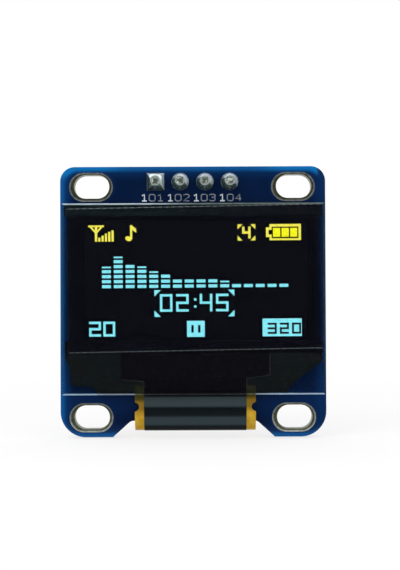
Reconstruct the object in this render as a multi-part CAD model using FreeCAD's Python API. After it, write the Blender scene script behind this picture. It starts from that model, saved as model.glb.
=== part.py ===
import FreeCAD
import Part
import os
from math import cos, radians, sin, sqrt, tan

V = FreeCAD.Vector

# A small self-lit display module: a circuit board that carries a two-colour glass panel on its front,
# joined by a ribbon of flexible film that folds round the board's lower edge to contacts on the back,
# with a four-pin header soldered along the top edge.
# All sizes are in millimetres. X runs to the viewer's right, Z up, and Y from the screen to the back.
# The origin is the middle of the four mounting slots, on the back face of the board.

# Picture area: rows of yellow light above rows of blue light
PICTURE_COLUMNS = 128
YELLOW_ROWS = 16
BLUE_ROWS = 48
DOT_SPACING = 0.1725
COLOUR_GAP = 0.42
LIT_THICKNESS = 0.02
EMITTER_THICKNESS = 0.03
EMITTER_MARGIN = 0.35
PICTURE_SKEW_DEG = 0.22

# Glass panel, front to back: polarizer, front glass, seal, cap glass, foam tape.
# The margins run from the picture to the edges of the cap, and the ledge is what the cap leaves bare.
PICTURE_MARGIN_LEFT = 2.64
PICTURE_MARGIN_RIGHT = 1.98
PICTURE_MARGIN_TOP = 2.16
PICTURE_MARGIN_BOTTOM = 1.72
LEDGE_HEIGHT = 4.14
GLASS_CHAMFER = 0.1
FRONT_GLASS_THICKNESS = 0.7
CAP_THICKNESS = 0.5
CAP_POCKET_DEPTH = 0.25
CAP_POCKET_WALL = 1.6
SEAL_THICKNESS = 0.06
SEAL_WIDTH = 1.1
SEAL_INSET = 0.15
GETTER_THICKNESS = 0.12
GETTER_MARGIN = 1.5
TAPE_THICKNESS = 0.35
TAPE_MARGIN_SIDE = 0.6
TAPE_MARGIN_END = 0.35
POLARIZER_INSET_LEFT = 0.57
POLARIZER_INSET_RIGHT = 0.33
POLARIZER_INSET_TOP = 0.33
POLARIZER_INSET_BOTTOM = 0.34
POLARIZER_THICKNESS = 0.2
POLARIZER_CHAMFER = 0.08
POLARIZER_SKEW_DEG = 0.95

# Circuit board, sized round the panel
BOARD_MARGIN_SIDE = 0.3
BOARD_MARGIN_TOP = 3.89
BOARD_MARGIN_BOTTOM = 4.43
BOARD_THICKNESS = 1.2
CORNER_RADIUS_TOP = 1.5
CORNER_RADIUS_BOTTOM = 2.6
PANEL_OFFSET_X = 0.05

# Plated mounting slots, one near each corner
SLOT_INSET_X = 3.25
SLOT_INSET_Z = 2.05
SLOT_LENGTH = 3.65
SLOT_WIDTH = 2.45
PLATING_WALL = 0.05
RIM_MARGIN_X = 0.43
RIM_MARGIN_Z = 0.27
RIM_SHIFT_X = -0.07
RIM_SHIFT_Z = -0.05
COPPER_HEIGHT = 0.05

# Pin header along the top edge
PIN_COUNT = 4
PIN_PITCH = 2.54
PIN_SIZE = 0.64
PIN_TIP_CHAMFER = 0.16
HEADER_INSET = 1.55
PIN_FRONT_LENGTH = 1.4
PIN_REAR_LENGTH = 6.0
HOUSING_DEPTH = 2.54
HOUSING_HEIGHT = 2.5
HOUSING_CHAMFER = 0.5
PIN_HOLE_CLEARANCE = 0.05
PIN_PAD_RING = 0.4
SOLDER_DROP = 0.12
SOLDER_PAD_MARGIN = 0.03
SOLDER_COLLAR = 0.06
SOLDER_SWELL = 0.065

# Ledge of the front glass below the cap: printed conductors, driver chip and black resin.
# The film's sides are corners (inset from the glass's side, rise above its lower edge), from the top down.
FILM_THICKNESS = 0.02
FILM_GAP = 0.05
FILM_TOP_GAP = 0.08
FILM_LEFT = ((0.22, 3.74), (0.71, 2.56), (0.81, 0.9), (2.9, 0.8), (3.5, 0.3))
FILM_RIGHT = ((0.22, 3.34), (1.4, 2.52), (3.0, 1.27), (3.7, 0.49))
CHIP_LENGTH = 6.8
CHIP_HEIGHT = 0.9
CHIP_THICKNESS = 0.3
CHIP_DROP = 1.25
RESIN_WIDTH = 15.3
RESIN_COVER = 0.15
RESIN_SKEW_DEG = 1.2
RESIN_GAP = 0.03

# Folded ribbon. It bows forward below the glass, then turns back round the board's lower edge.
RIBBON_OFFSET_X = 0.2
RIBBON_WIDTH = 12.35
RIBBON_THICKNESS = 0.1
RIBBON_BOND = 1.29
RIBBON_DROP = 3.81
BOW_DROP = 0.1
BOW_ANGLE = 12.0
BOW_RADIUS = 1.9
FOLD_ANGLE = 32.0
COVERLAY_MARGIN = 0.95
COVERLAY_THICKNESS = 0.04
BITE_RADIUS = 0.44
BITE_SHOULDER = 0.14
BITE_DROP = 1.26
BITE_CUT_DEPTH = 1.0

# Shallow notch in the board's lower edge that the ribbon folds round
NOTCH_CLEARANCE = 0.13
NOTCH_HEADROOM = 1.05
NOTCH_FLARE_ANGLE = 48.0
NOTCH_CORNER_RADIUS = 0.8

# Wide tail of the ribbon on the back, with its row of soldered contacts
TAIL_MARGIN = 0.55
TAIL_RISE = 3.9
TAIL_HEIGHT = 4.1
TAIL_CORNER_RADIUS = 0.5
TAIL_COVERLAY_MARGIN = 0.45
CONTACT_COUNT = 30
CONTACT_PITCH = 0.7
CONTACT_WIDTH = 0.4
CONTACT_LENGTH = 1.7
CONTACT_THICKNESS = 0.03
LAND_THICKNESS = 0.035
LAND_OVERHANG = 0.75
CONTACT_SOLDER_LAP = 0.35
CONTACT_SOLDER_RISE = 0.1

# Chip parts on the back: ceramic bodies between metal ends
CHIP_PART_LENGTH = 1.6
CHIP_PART_WIDTH = 0.8
CAPACITOR_HEIGHT = 0.8
RESISTOR_HEIGHT = 0.45
TERMINAL_LENGTH = 0.32
TERMINAL_WALL = 0.02
LAND_LENGTH = 0.85
LAND_WIDTH = 0.95
LAND_GAP = 0.95
SOLDER_CLIMB = 0.6
SOLDER_HOLLOW = 0.09

# Moulded parts on the back: a regulator with three bent leads, and a diode
LEAD_THICKNESS = 0.13
BODY_DRAFT = 0.09
REGULATOR_LENGTH = 2.9
REGULATOR_WIDTH = 1.3
REGULATOR_HEIGHT = 1.0
REGULATOR_STANDOFF = 0.08
REGULATOR_LEAD_WIDTH = 0.4
REGULATOR_LEAD_REACH = 0.55
REGULATOR_LEAD_PITCH = 0.95
REGULATOR_LEAD_FOOT = 0.35
REGULATOR_LAND_WIDTH = 0.7
DIODE_LENGTH = 1.7
DIODE_WIDTH = 1.25
DIODE_HEIGHT = 0.9
DIODE_LEAD_WIDTH = 0.35
DIODE_LEAD_REACH = 0.4

# Layout of the back: rows of parts above the tail's lands, and places along X in each row
LOWER_ROW_RISE = 2.55
MIDDLE_ROW_RISE = 4.6
UPPER_ROW_RISE = 3.8
LOWER_ROW_PITCH = 2.15
LOWER_ROW = ("capacitor_1", "capacitor_2", "resistor_1", "capacitor_3", "resistor_2",
             "capacitor_4", "capacitor_5", "resistor_3", "capacitor_6", "resistor_4")
MIDDLE_ROW = {"resistor_6": -8.6, "resistor_5": -6.4, "capacitor_8": 1.6, "capacitor_7": 8.7}
REGULATOR_X = 5.2
DIODE_X = -2.4
UPPER_RESISTOR_X = -3.4
SPARE_LANDS_X = 3.4

# The picture, drawn in columns from the left and rows from the top
SPARE_COLUMNS = 2
ICON_ROWS = 9.6
SIGNAL_COLUMNS = 9.3
SIGNAL_MAST = 1.4
SIGNAL_BAR_COLUMN = 5.9
SIGNAL_BAR_PITCH = 1.97
SIGNAL_BAR_WIDTH = 1.3
SIGNAL_HEIGHTS = (2.3, 3.5, 4.7, 5.7, 6.6)
BATTERY_COLUMNS = 18.6
BATTERY_LINE = 1.55
BATTERY_TIP_COLUMNS = 2.1
BATTERY_TIP_ROWS = 5.8
BATTERY_CELLS = 3
BATTERY_CELL_GAP = 0.5
BATTERY_CELL_SPACE = 0.8
YELLOW_FIELD = (88.5, 99, 0, 9.6)
YELLOW_MARK = 2.9
BLUE_FIELD = (38.9, 86.3, 36.2, 52)
BLUE_MARK = 3.8
PAUSE_COLUMN = 58.1
PAUSE_COLUMNS = 10.5
PAUSE_ROWS = 9.5
PAUSE_STROKE_COLUMNS = 1.45
PAUSE_STROKE_ROWS = 4.5
PAUSE_STROKE_SPREAD = 2
PLATE_COLUMNS = 23.2
PLATE_ROWS = 10.5
BAR_COLUMN = 8
BAR_PITCH = 7
BAR_WIDTH = 5.25
BAR_FOOT_ROW = 35
BLOCK_PITCH = 2.96
BLOCK_ROWS = 2.2
BAR_BLOCKS = (4.5, 6.5, 5, 4.5, 3.5, 3, 2, 2, 2, 2, 1.5, 1, 1, 1, 1, 1)

# Places that follow from the sizes
PICTURE_ROWS = YELLOW_ROWS + BLUE_ROWS
PICTURE_WIDTH = PICTURE_COLUMNS * DOT_SPACING
PICTURE_HEIGHT = PICTURE_ROWS * DOT_SPACING + COLOUR_GAP
CAP_HEIGHT = PICTURE_MARGIN_TOP + PICTURE_HEIGHT + PICTURE_MARGIN_BOTTOM
PANEL_WIDTH = PICTURE_MARGIN_LEFT + PICTURE_WIDTH + PICTURE_MARGIN_RIGHT
PANEL_HEIGHT = CAP_HEIGHT + LEDGE_HEIGHT
BOARD_WIDTH = PANEL_WIDTH + 2 * BOARD_MARGIN_SIDE
BOARD_HEIGHT = BOARD_MARGIN_TOP + PANEL_HEIGHT + BOARD_MARGIN_BOTTOM
BOARD_TOP = BOARD_HEIGHT / 2
BOARD_BOTTOM = -BOARD_HEIGHT / 2
BOARD_FRONT = -BOARD_THICKNESS

SLOT_X = BOARD_WIDTH / 2 - SLOT_INSET_X
SLOT_Z = BOARD_HEIGHT / 2 - SLOT_INSET_Z
SLOTS = {
    "top_left": (-SLOT_X, SLOT_Z),
    "top_right": (SLOT_X, SLOT_Z),
    "bottom_left": (-SLOT_X, -SLOT_Z),
    "bottom_right": (SLOT_X, -SLOT_Z),
}

HEADER_Z = BOARD_TOP - HEADER_INSET
PIN_X = [(i - (PIN_COUNT - 1) / 2) * PIN_PITCH for i in range(PIN_COUNT)]
PIN_DIAGONAL = PIN_SIZE * sqrt(2)
PIN_HOLE_DIAMETER = PIN_DIAGONAL + 2 * PIN_HOLE_CLEARANCE
PIN_PAD_SIZE = PIN_HOLE_DIAMETER + 2 * PIN_PAD_RING
PAD_FRONT = BOARD_FRONT - COPPER_HEIGHT
SOLDER_HEIGHT = PIN_FRONT_LENGTH - SOLDER_DROP
PIN_FRONT_END = PAD_FRONT - PIN_FRONT_LENGTH
HOUSING_FRONT = COPPER_HEIGHT
PIN_REAR_END = HOUSING_FRONT + HOUSING_DEPTH + PIN_REAR_LENGTH

PANEL_TOP = BOARD_TOP - BOARD_MARGIN_TOP
PANEL_BOTTOM = PANEL_TOP - PANEL_HEIGHT
PANEL_LEFT = PANEL_OFFSET_X - PANEL_WIDTH / 2
PANEL_RIGHT = PANEL_OFFSET_X + PANEL_WIDTH / 2
CAP_BOTTOM = PANEL_TOP - CAP_HEIGHT
CAP_Z = PANEL_TOP - CAP_HEIGHT / 2
TAPE_FRONT = BOARD_FRONT - TAPE_THICKNESS
CAP_FRONT = TAPE_FRONT - CAP_THICKNESS
GLASS_BACK = CAP_FRONT - SEAL_THICKNESS
GLASS_FRONT = GLASS_BACK - FRONT_GLASS_THICKNESS
LEDGE_BACK = GLASS_BACK + FILM_THICKNESS
LEDGE_TOP = CAP_BOTTOM - FILM_GAP
PICTURE_LEFT = PANEL_LEFT + PICTURE_MARGIN_LEFT
PICTURE_TOP = PANEL_TOP - PICTURE_MARGIN_TOP
PICTURE_X = PICTURE_LEFT + PICTURE_WIDTH / 2
PICTURE_Z = PICTURE_TOP - PICTURE_HEIGHT / 2
FILM_TOP = PICTURE_TOP - PICTURE_HEIGHT - EMITTER_MARGIN - FILM_TOP_GAP

RIBBON_TOP = PANEL_BOTTOM + RIBBON_BOND
RIBBON_LOWEST = PANEL_BOTTOM - RIBBON_DROP
RIBBON_FRONT_MID = LEDGE_BACK + COVERLAY_THICKNESS + RIBBON_THICKNESS / 2
RIBBON_REAR_MID = LAND_THICKNESS + RIBBON_THICKNESS / 2
RIBBON_BACK = LAND_THICKNESS + RIBBON_THICKNESS
NOTCH_WIDTH = RIBBON_WIDTH + 2 * (abs(RIBBON_OFFSET_X - PANEL_OFFSET_X) + NOTCH_CLEARANCE)
NOTCH_TOP = RIBBON_LOWEST + NOTCH_HEADROOM
CONTACT_X = [(i - (CONTACT_COUNT - 1) / 2) * CONTACT_PITCH for i in range(CONTACT_COUNT)]
TAIL_WIDTH = CONTACT_X[-1] - CONTACT_X[0] + CONTACT_WIDTH + 2 * TAIL_MARGIN
TAIL_BOTTOM = RIBBON_LOWEST + TAIL_RISE
TAIL_TOP = TAIL_BOTTOM + TAIL_HEIGHT
COVERLAY_END = TAIL_TOP - CONTACT_LENGTH

LOWER_ROW_Z = TAIL_TOP + LAND_OVERHANG + LOWER_ROW_RISE
MIDDLE_ROW_Z = LOWER_ROW_Z + MIDDLE_ROW_RISE
UPPER_ROW_Z = MIDDLE_ROW_Z + UPPER_ROW_RISE
LOWER_ROW_START = -(len(LOWER_ROW) - 1) / 2 * LOWER_ROW_PITCH

# Each chip part's place along X and Z, and whether its long side runs along Z
CHIP_PARTS = {
    name: (LOWER_ROW_START + i * LOWER_ROW_PITCH, LOWER_ROW_Z, True) for i, name in enumerate(LOWER_ROW)
}
CHIP_PARTS.update({name: (x, MIDDLE_ROW_Z, True) for name, x in MIDDLE_ROW.items()})
CHIP_PARTS["resistor_7"] = (UPPER_RESISTOR_X, UPPER_ROW_Z, False)


def block(size_x, size_y, size_z, centre_x, front_y, centre_z):
    """A box given by its middle in X and Z and by its front face."""
    corner = V(centre_x - size_x / 2, front_y, centre_z - size_z / 2)
    return Part.makeBox(size_x, size_y, size_z, corner)


def between(x_low, x_high, y_low, y_high, z_low, z_high):
    """A box given by its limits."""
    return Part.makeBox(x_high - x_low, y_high - y_low, z_high - z_low, V(x_low, y_low, z_low))


def edges_through(shape, places, tolerance=1e-4):
    """The edges that run along Y at the given places in X and Z."""
    found = []
    for edge in shape.Edges:
        start, end = edge.Vertexes[0].Point, edge.Vertexes[-1].Point
        along_y = abs(start.x - end.x) < tolerance and abs(start.z - end.z) < tolerance
        if along_y and any(abs(start.x - x) < tolerance and abs(start.z - z) < tolerance for x, z in places):
            found.append(edge)
    return found


def rounded_block(size_x, size_y, size_z, centre_x, front_y, centre_z, radius):
    """A box whose four edges along Y are rounded."""
    shape = block(size_x, size_y, size_z, centre_x, front_y, centre_z)
    corners = [(centre_x + i * size_x / 2, centre_z + j * size_z / 2) for i in (-1, 1) for j in (-1, 1)]
    return shape.makeFillet(radius, edges_through(shape, corners))


def extruded(points, front_y, depth):
    """A closed outline of (x, z) points, drawn at front_y and carried back by depth."""
    corners = [V(x, front_y, z) for x, z in points]
    wire = Part.makePolygon(corners + corners[:1])
    return Part.Face(wire).extrude(V(0, depth, 0))


def stadium(length, width, centre_x, front_y, centre_z, depth):
    """A slot-shaped block with round ends, its long side along X."""
    half, radius = (length - width) / 2, width / 2
    top, bottom = centre_z + radius, centre_z - radius
    left, right = centre_x - half, centre_x + half
    y = front_y
    edges = [
        Part.LineSegment(V(left, y, top), V(right, y, top)).toShape(),
        Part.Arc(V(right, y, top), V(right + radius, y, centre_z), V(right, y, bottom)).toShape(),
        Part.LineSegment(V(right, y, bottom), V(left, y, bottom)).toShape(),
        Part.Arc(V(left, y, bottom), V(left - radius, y, centre_z), V(left, y, top)).toShape(),
    ]
    return Part.Face(Part.Wire(edges)).extrude(V(0, depth, 0))


def cylinder(radius, length, x, front_y, z):
    """A round bar along Y."""
    return Part.makeCylinder(radius, length, V(x, front_y, z), V(0, 1, 0))


def joined(shapes):
    """One solid made of pieces that meet or overlap."""
    return shapes[0].multiFuse(shapes[1:]).removeSplitter()


# Board and its plated holes


def notch_tool():
    """The opening in the lower edge: its sides flare outwards from rounded inner corners."""
    half, bottom = NOTCH_WIDTH / 2, BOARD_BOTTOM
    left, right = PANEL_OFFSET_X - half, PANEL_OFFSET_X + half
    flare = (NOTCH_TOP - bottom) * tan(radians(NOTCH_FLARE_ANGLE))
    outline = [(left - flare, bottom), (left, NOTCH_TOP), (right, NOTCH_TOP), (right + flare, bottom)]
    tool = extruded(outline, BOARD_FRONT, BOARD_THICKNESS)
    rounded = [(left, NOTCH_TOP), (right, NOTCH_TOP)]
    return tool.makeFillet(NOTCH_CORNER_RADIUS, edges_through(tool, rounded))


def board():
    """The laminate with its slots, pin holes and ribbon notch."""
    plate = block(BOARD_WIDTH, BOARD_THICKNESS, BOARD_HEIGHT, 0, BOARD_FRONT, 0)
    for z, radius in ((BOARD_TOP, CORNER_RADIUS_TOP), (BOARD_BOTTOM, CORNER_RADIUS_BOTTOM)):
        corners = [(-BOARD_WIDTH / 2, z), (BOARD_WIDTH / 2, z)]
        plate = plate.makeFillet(radius, edges_through(plate, corners))
    tools = [notch_tool()]
    for x, z in SLOTS.values():
        tools.append(stadium(SLOT_LENGTH + 2 * PLATING_WALL, SLOT_WIDTH + 2 * PLATING_WALL,
                             x, BOARD_FRONT, z, BOARD_THICKNESS))
    for x in PIN_X:
        radius = PIN_HOLE_DIAMETER / 2 + PLATING_WALL
        tools.append(cylinder(radius, BOARD_THICKNESS, x, BOARD_FRONT, HEADER_Z))
    return plate.cut(tools)


def slot_plating(x, z):
    """The metal lining of one slot, with a rim on each face of the board, a little off the slot's middle."""
    depth = BOARD_THICKNESS + 2 * COPPER_HEIGHT
    front = PAD_FRONT
    rim_length, rim_width = SLOT_LENGTH + 2 * RIM_MARGIN_X, SLOT_WIDTH + 2 * RIM_MARGIN_Z
    rim_x, rim_z = x + RIM_SHIFT_X, z + RIM_SHIFT_Z
    lining = stadium(SLOT_LENGTH + 2 * PLATING_WALL, SLOT_WIDTH + 2 * PLATING_WALL, x, front, z, depth)
    rims = [stadium(rim_length, rim_width, rim_x, y, rim_z, COPPER_HEIGHT) for y in (front, 0)]
    return joined([lining, *rims]).cut(stadium(SLOT_LENGTH, SLOT_WIDTH, x, front, z, depth))


def pin_pad(index):
    """The plated hole of one pin. The first has square lands, the others round ones."""
    x = PIN_X[index]
    depth = BOARD_THICKNESS + 2 * COPPER_HEIGHT
    front = PAD_FRONT
    lining = cylinder(PIN_HOLE_DIAMETER / 2 + PLATING_WALL, depth, x, front, HEADER_Z)
    lands = []
    for y in (front, 0):
        if index == 0:
            lands.append(block(PIN_PAD_SIZE, COPPER_HEIGHT, PIN_PAD_SIZE, x, y, HEADER_Z))
        else:
            lands.append(cylinder(PIN_PAD_SIZE / 2, COPPER_HEIGHT, x, y, HEADER_Z))
    return joined([lining, *lands]).cut(cylinder(PIN_HOLE_DIAMETER / 2, depth, x, front, HEADER_Z))


# Pin header


def header_pin(x):
    """A square pin with tapered ends, pressed through the housing."""
    length = PIN_REAR_END - PIN_FRONT_END
    bar = block(PIN_SIZE, length, PIN_SIZE, x, PIN_FRONT_END, HEADER_Z)
    ends = [e for e in bar.Edges if abs(e.Vertexes[0].Point.y - e.Vertexes[-1].Point.y) < 1e-6]
    return bar.makeChamfer(PIN_TIP_CHAMFER, ends)


def header_housing():
    """The moulded strip that holds the pins, with break-off notches between the positions."""
    cells = []
    for x in PIN_X:
        cell = block(PIN_PITCH, HOUSING_DEPTH, HOUSING_HEIGHT, x, HOUSING_FRONT, HEADER_Z)
        half_x, half_z = PIN_PITCH / 2, HOUSING_HEIGHT / 2
        corners = [(x + i * half_x, HEADER_Z + j * half_z) for i in (-1, 1) for j in (-1, 1)]
        cells.append(cell.makeChamfer(HOUSING_CHAMFER, edges_through(cell, corners)))
    bores = [block(PIN_SIZE, HOUSING_DEPTH, PIN_SIZE, x, HOUSING_FRONT, HEADER_Z) for x in PIN_X]
    return joined(cells).cut(bores)


def solder_dome(x):
    """A domed joint turned about the pin, for a round land."""
    base, top = PIN_PAD_SIZE / 2 - SOLDER_PAD_MARGIN, PIN_DIAGONAL / 2 + SOLDER_COLLAR
    foot = PAD_FRONT
    crown = foot - SOLDER_HEIGHT
    waist = V(x + (base + top) / 2 + SOLDER_SWELL, foot - SOLDER_HEIGHT / 2, HEADER_Z)
    edges = [
        Part.LineSegment(V(x, foot, HEADER_Z), V(x + base, foot, HEADER_Z)).toShape(),
        Part.Arc(V(x + base, foot, HEADER_Z), waist, V(x + top, crown, HEADER_Z)).toShape(),
        Part.LineSegment(V(x + top, crown, HEADER_Z), V(x, crown, HEADER_Z)).toShape(),
        Part.LineSegment(V(x, crown, HEADER_Z), V(x, foot, HEADER_Z)).toShape(),
    ]
    return Part.Face(Part.Wire(edges)).revolve(V(x, foot, HEADER_Z), V(0, 1, 0), 360)


def rounded_square(side, radius, x, y, z):
    """A square outline with round corners, in a plane across Y."""
    half, flat = side / 2, side / 2 - radius
    bow = radius * (1 - sqrt(0.5))
    edges = []
    for turn in range(4):
        c, s = (1, 0, -1, 0)[turn], (0, 1, 0, -1)[turn]

        def at(u, v):
            return V(x + c * u - s * v, y, z + s * u + c * v)

        edges.append(Part.LineSegment(at(half, -flat), at(half, flat)).toShape())
        edges.append(Part.Arc(at(half, flat), at(half - bow, half - bow), at(flat, half)).toShape())
    return Part.Wire(edges)


def solder_pyramid(x):
    """A joint on the square land, whose full flanks rise from the land's corners and close round the pin."""
    base, top = PIN_PAD_SIZE - 2 * SOLDER_PAD_MARGIN, PIN_DIAGONAL + 2 * SOLDER_COLLAR
    foot = PAD_FRONT
    sections = []
    for share, blend in ((0.0, 0.0), (0.4, 0.2), (0.75, 0.52), (1.0, 1.0)):
        side = base + (top - base) * blend
        radius = side * (0.04 + 0.42 * blend)
        sections.append(rounded_square(side, radius, x, foot - SOLDER_HEIGHT * share, HEADER_Z))
    return Part.makeLoft(sections, True, True)


def solder_joint(index):
    """Solder that fills one plated hole and rises round the pin in front of the board."""
    x = PIN_X[index]
    shape = solder_pyramid(x) if index == 0 else solder_dome(x)
    fill = cylinder(PIN_HOLE_DIAMETER / 2, BOARD_THICKNESS + COPPER_HEIGHT, x, PAD_FRONT, HEADER_Z)
    pin = block(PIN_SIZE, PIN_REAR_END - PIN_FRONT_END, PIN_SIZE, x, PIN_FRONT_END, HEADER_Z)
    return joined([shape, fill]).cut(pin)


# Glass panel


def chamfered_glass(width, thickness, height, front_y, centre_z):
    """A cut pane with a fine chamfer all round both faces."""
    pane = block(width, thickness, height, PANEL_OFFSET_X, front_y, centre_z)
    rims = [e for e in pane.Edges if abs(e.Vertexes[0].Point.y - e.Vertexes[-1].Point.y) < 1e-6]
    return pane.makeChamfer(GLASS_CHAMFER, rims)


def front_glass():
    centre_z = (PANEL_TOP + PANEL_BOTTOM) / 2
    return chamfered_glass(PANEL_WIDTH, FRONT_GLASS_THICKNESS, PANEL_HEIGHT, GLASS_FRONT, centre_z)


def cap_glass():
    """The rear pane, hollowed on its inner face."""
    pane = chamfered_glass(PANEL_WIDTH, CAP_THICKNESS, CAP_HEIGHT, CAP_FRONT, CAP_Z)
    pocket = block(PANEL_WIDTH - 2 * CAP_POCKET_WALL, CAP_POCKET_DEPTH, CAP_HEIGHT - 2 * CAP_POCKET_WALL,
                   PANEL_OFFSET_X, CAP_FRONT, CAP_Z)
    return pane.cut(pocket)


def getter_sheet():
    """The drying sheet stuck to the floor of the cap's hollow."""
    margin = CAP_POCKET_WALL + GETTER_MARGIN
    width, height = PANEL_WIDTH - 2 * margin, CAP_HEIGHT - 2 * margin
    front = CAP_FRONT + CAP_POCKET_DEPTH - GETTER_THICKNESS
    return block(width, GETTER_THICKNESS, height, PANEL_OFFSET_X, front, CAP_Z)


def seal_frame():
    """The glue line that joins the two panes, and runs over the printed conductors."""
    outer_width, outer_height = PANEL_WIDTH - 2 * SEAL_INSET, CAP_HEIGHT - 2 * SEAL_INSET
    outer = block(outer_width, SEAL_THICKNESS, outer_height, PANEL_OFFSET_X, GLASS_BACK, CAP_Z)
    inner = block(outer_width - 2 * SEAL_WIDTH, SEAL_THICKNESS, outer_height - 2 * SEAL_WIDTH,
                  PANEL_OFFSET_X, GLASS_BACK, CAP_Z)
    return outer.cut([inner, conductor_film()])


def foam_tape():
    return block(PANEL_WIDTH - 2 * TAPE_MARGIN_SIDE, TAPE_THICKNESS, CAP_HEIGHT - 2 * TAPE_MARGIN_END,
                 PANEL_OFFSET_X, TAPE_FRONT, CAP_Z)


def polarizer():
    """The dark film on the front, its edges cut at a slant, laid on slightly askew."""
    left, right = PANEL_LEFT + POLARIZER_INSET_LEFT, PANEL_RIGHT - POLARIZER_INSET_RIGHT
    top, bottom = PANEL_TOP - POLARIZER_INSET_TOP, CAP_BOTTOM + POLARIZER_INSET_BOTTOM
    front = GLASS_FRONT - POLARIZER_THICKNESS
    film = between(left, right, front, GLASS_FRONT, bottom, top)
    rim = [e for e in film.Edges if max(v.Point.y for v in e.Vertexes) < front + 1e-6]
    film = film.makeChamfer(POLARIZER_CHAMFER, rim)
    film.rotate(V((left + right) / 2, 0, (top + bottom) / 2), V(0, 1, 0), -POLARIZER_SKEW_DEG)
    return film


def emitter_layer():
    """The light-emitting film behind the lit elements."""
    return block(PICTURE_WIDTH + 2 * EMITTER_MARGIN, EMITTER_THICKNESS, PICTURE_HEIGHT + 2 * EMITTER_MARGIN,
                 PICTURE_X, GLASS_BACK + LIT_THICKNESS, PICTURE_Z)


# The picture


def row_z(row):
    """The height of the upper edge of a row. The blue rows start below the dark gap."""
    gap = COLOUR_GAP if row > YELLOW_ROWS - 1 else 0
    return PICTURE_TOP - row * DOT_SPACING - gap


def lit(column, row, columns, rows):
    """A lit rectangle whose upper left corner is at column and row."""
    left = PICTURE_LEFT + column * DOT_SPACING
    top = row_z(row)
    return between(left, left + columns * DOT_SPACING, GLASS_BACK, GLASS_BACK + LIT_THICKNESS,
                   top - rows * DOT_SPACING, top)


def lit_outline(corners):
    """A lit shape with straight sides, from (column, row) corners."""
    points = [(PICTURE_LEFT + c * DOT_SPACING, row_z(r)) for c, r in corners]
    return extruded(points, GLASS_BACK, LIT_THICKNESS)


def signal_icon():
    """An aerial and five rising bars."""
    middle, half = SIGNAL_COLUMNS / 2, SIGNAL_MAST / 2
    fork, root = SIGNAL_COLUMNS * 0.42, SIGNAL_COLUMNS * 0.58
    mast = lit(middle - half, 0, SIGNAL_MAST, ICON_ROWS)
    bar = lit(0, 0, SIGNAL_COLUMNS, 0.75 * SIGNAL_MAST)
    stays = []
    for end, inward in ((0, 1), (SIGNAL_COLUMNS, -1)):
        corners = [(end, 0), (end + inward * SIGNAL_MAST, 0), (middle, fork), (middle, root)]
        stays.append(lit_outline(corners))
    rising = [
        lit(SIGNAL_BAR_COLUMN + SIGNAL_BAR_PITCH * i, ICON_ROWS - height, SIGNAL_BAR_WIDTH, height)
        for i, height in enumerate(SIGNAL_HEIGHTS)
    ]
    return [joined([mast, bar, *stays]), *rising]


def battery_icon():
    """A battery, its full cells inside the shell."""
    line, tip = BATTERY_LINE, BATTERY_TIP_COLUMNS
    start = PICTURE_COLUMNS - SPARE_COLUMNS - BATTERY_COLUMNS
    tip_row = (ICON_ROWS - BATTERY_TIP_ROWS) / 2
    shell = joined([
        lit(start, 0, BATTERY_COLUMNS, ICON_ROWS),
        lit(start - tip, tip_row, tip, BATTERY_TIP_ROWS),
    ])
    hollow = [
        lit(start + line, line, BATTERY_COLUMNS - 2 * line, ICON_ROWS - 2 * line),
        lit(start - tip + line, tip_row + line, tip, BATTERY_TIP_ROWS - 2 * line),
    ]
    margin = line + BATTERY_CELL_GAP
    spaces = (BATTERY_CELLS - 1) * BATTERY_CELL_SPACE
    width = (BATTERY_COLUMNS - 2 * margin - spaces) / BATTERY_CELLS
    cells = [
        lit(start + margin + (width + BATTERY_CELL_SPACE) * i, margin, width, ICON_ROWS - 2 * margin)
        for i in range(BATTERY_CELLS)
    ]
    return [shell.cut(hollow), *cells]


def corner_marks(left, right, top, bottom, size):
    """Four small triangles that frame a field."""
    marks = []
    for column, inward in ((left, 1), (right, -1)):
        for row, down in ((top, 1), (bottom, -1)):
            corners = [(column, row), (column + inward * size, row), (column, row + down * size)]
            marks.append(lit_outline(corners))
    return marks


def level_bars():
    """Sixteen columns of stacked blocks. A half in the count is a thin block on top."""
    blocks = []
    for i, count in enumerate(BAR_BLOCKS):
        column = BAR_COLUMN + i * BAR_PITCH
        for level in range(int(count)):
            blocks.append(lit(column, BAR_FOOT_ROW - level * BLOCK_PITCH - BLOCK_ROWS, BAR_WIDTH, BLOCK_ROWS))
        if count % 1:
            foot = BAR_FOOT_ROW - int(count) * BLOCK_PITCH
            blocks.append(lit(column, foot - BLOCK_ROWS / 2, BAR_WIDTH, BLOCK_ROWS / 2))
    return blocks


def pause_icon():
    """A lit square with two dark strokes."""
    top = PICTURE_ROWS - PAUSE_ROWS
    middle = PAUSE_COLUMN + PAUSE_COLUMNS / 2
    stroke_row = top + (PAUSE_ROWS - PAUSE_STROKE_ROWS) / 2
    strokes = [
        lit(middle + side * PAUSE_STROKE_SPREAD - PAUSE_STROKE_COLUMNS / 2, stroke_row,
            PAUSE_STROKE_COLUMNS, PAUSE_STROKE_ROWS)
        for side in (-1, 1)
    ]
    return lit(PAUSE_COLUMN, top, PAUSE_COLUMNS, PAUSE_ROWS).cut(strokes)


def lights(shapes):
    """The lit shapes of one colour, turned with the whole picture, which sits slightly askew in the glass."""
    group = Part.makeCompound(shapes)
    group.rotate(V(PICTURE_X, 0, PICTURE_Z), V(0, 1, 0), -PICTURE_SKEW_DEG)
    return group


def yellow_lights():
    return lights([*signal_icon(), *battery_icon(), *corner_marks(*YELLOW_FIELD, YELLOW_MARK)])


def blue_lights():
    plate_column = PICTURE_COLUMNS - SPARE_COLUMNS - PLATE_COLUMNS
    plate = lit(plate_column, PICTURE_ROWS - PLATE_ROWS, PLATE_COLUMNS, PLATE_ROWS)
    return lights([*level_bars(), *corner_marks(*BLUE_FIELD, BLUE_MARK), pause_icon(), plate])


# Ledge


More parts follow.
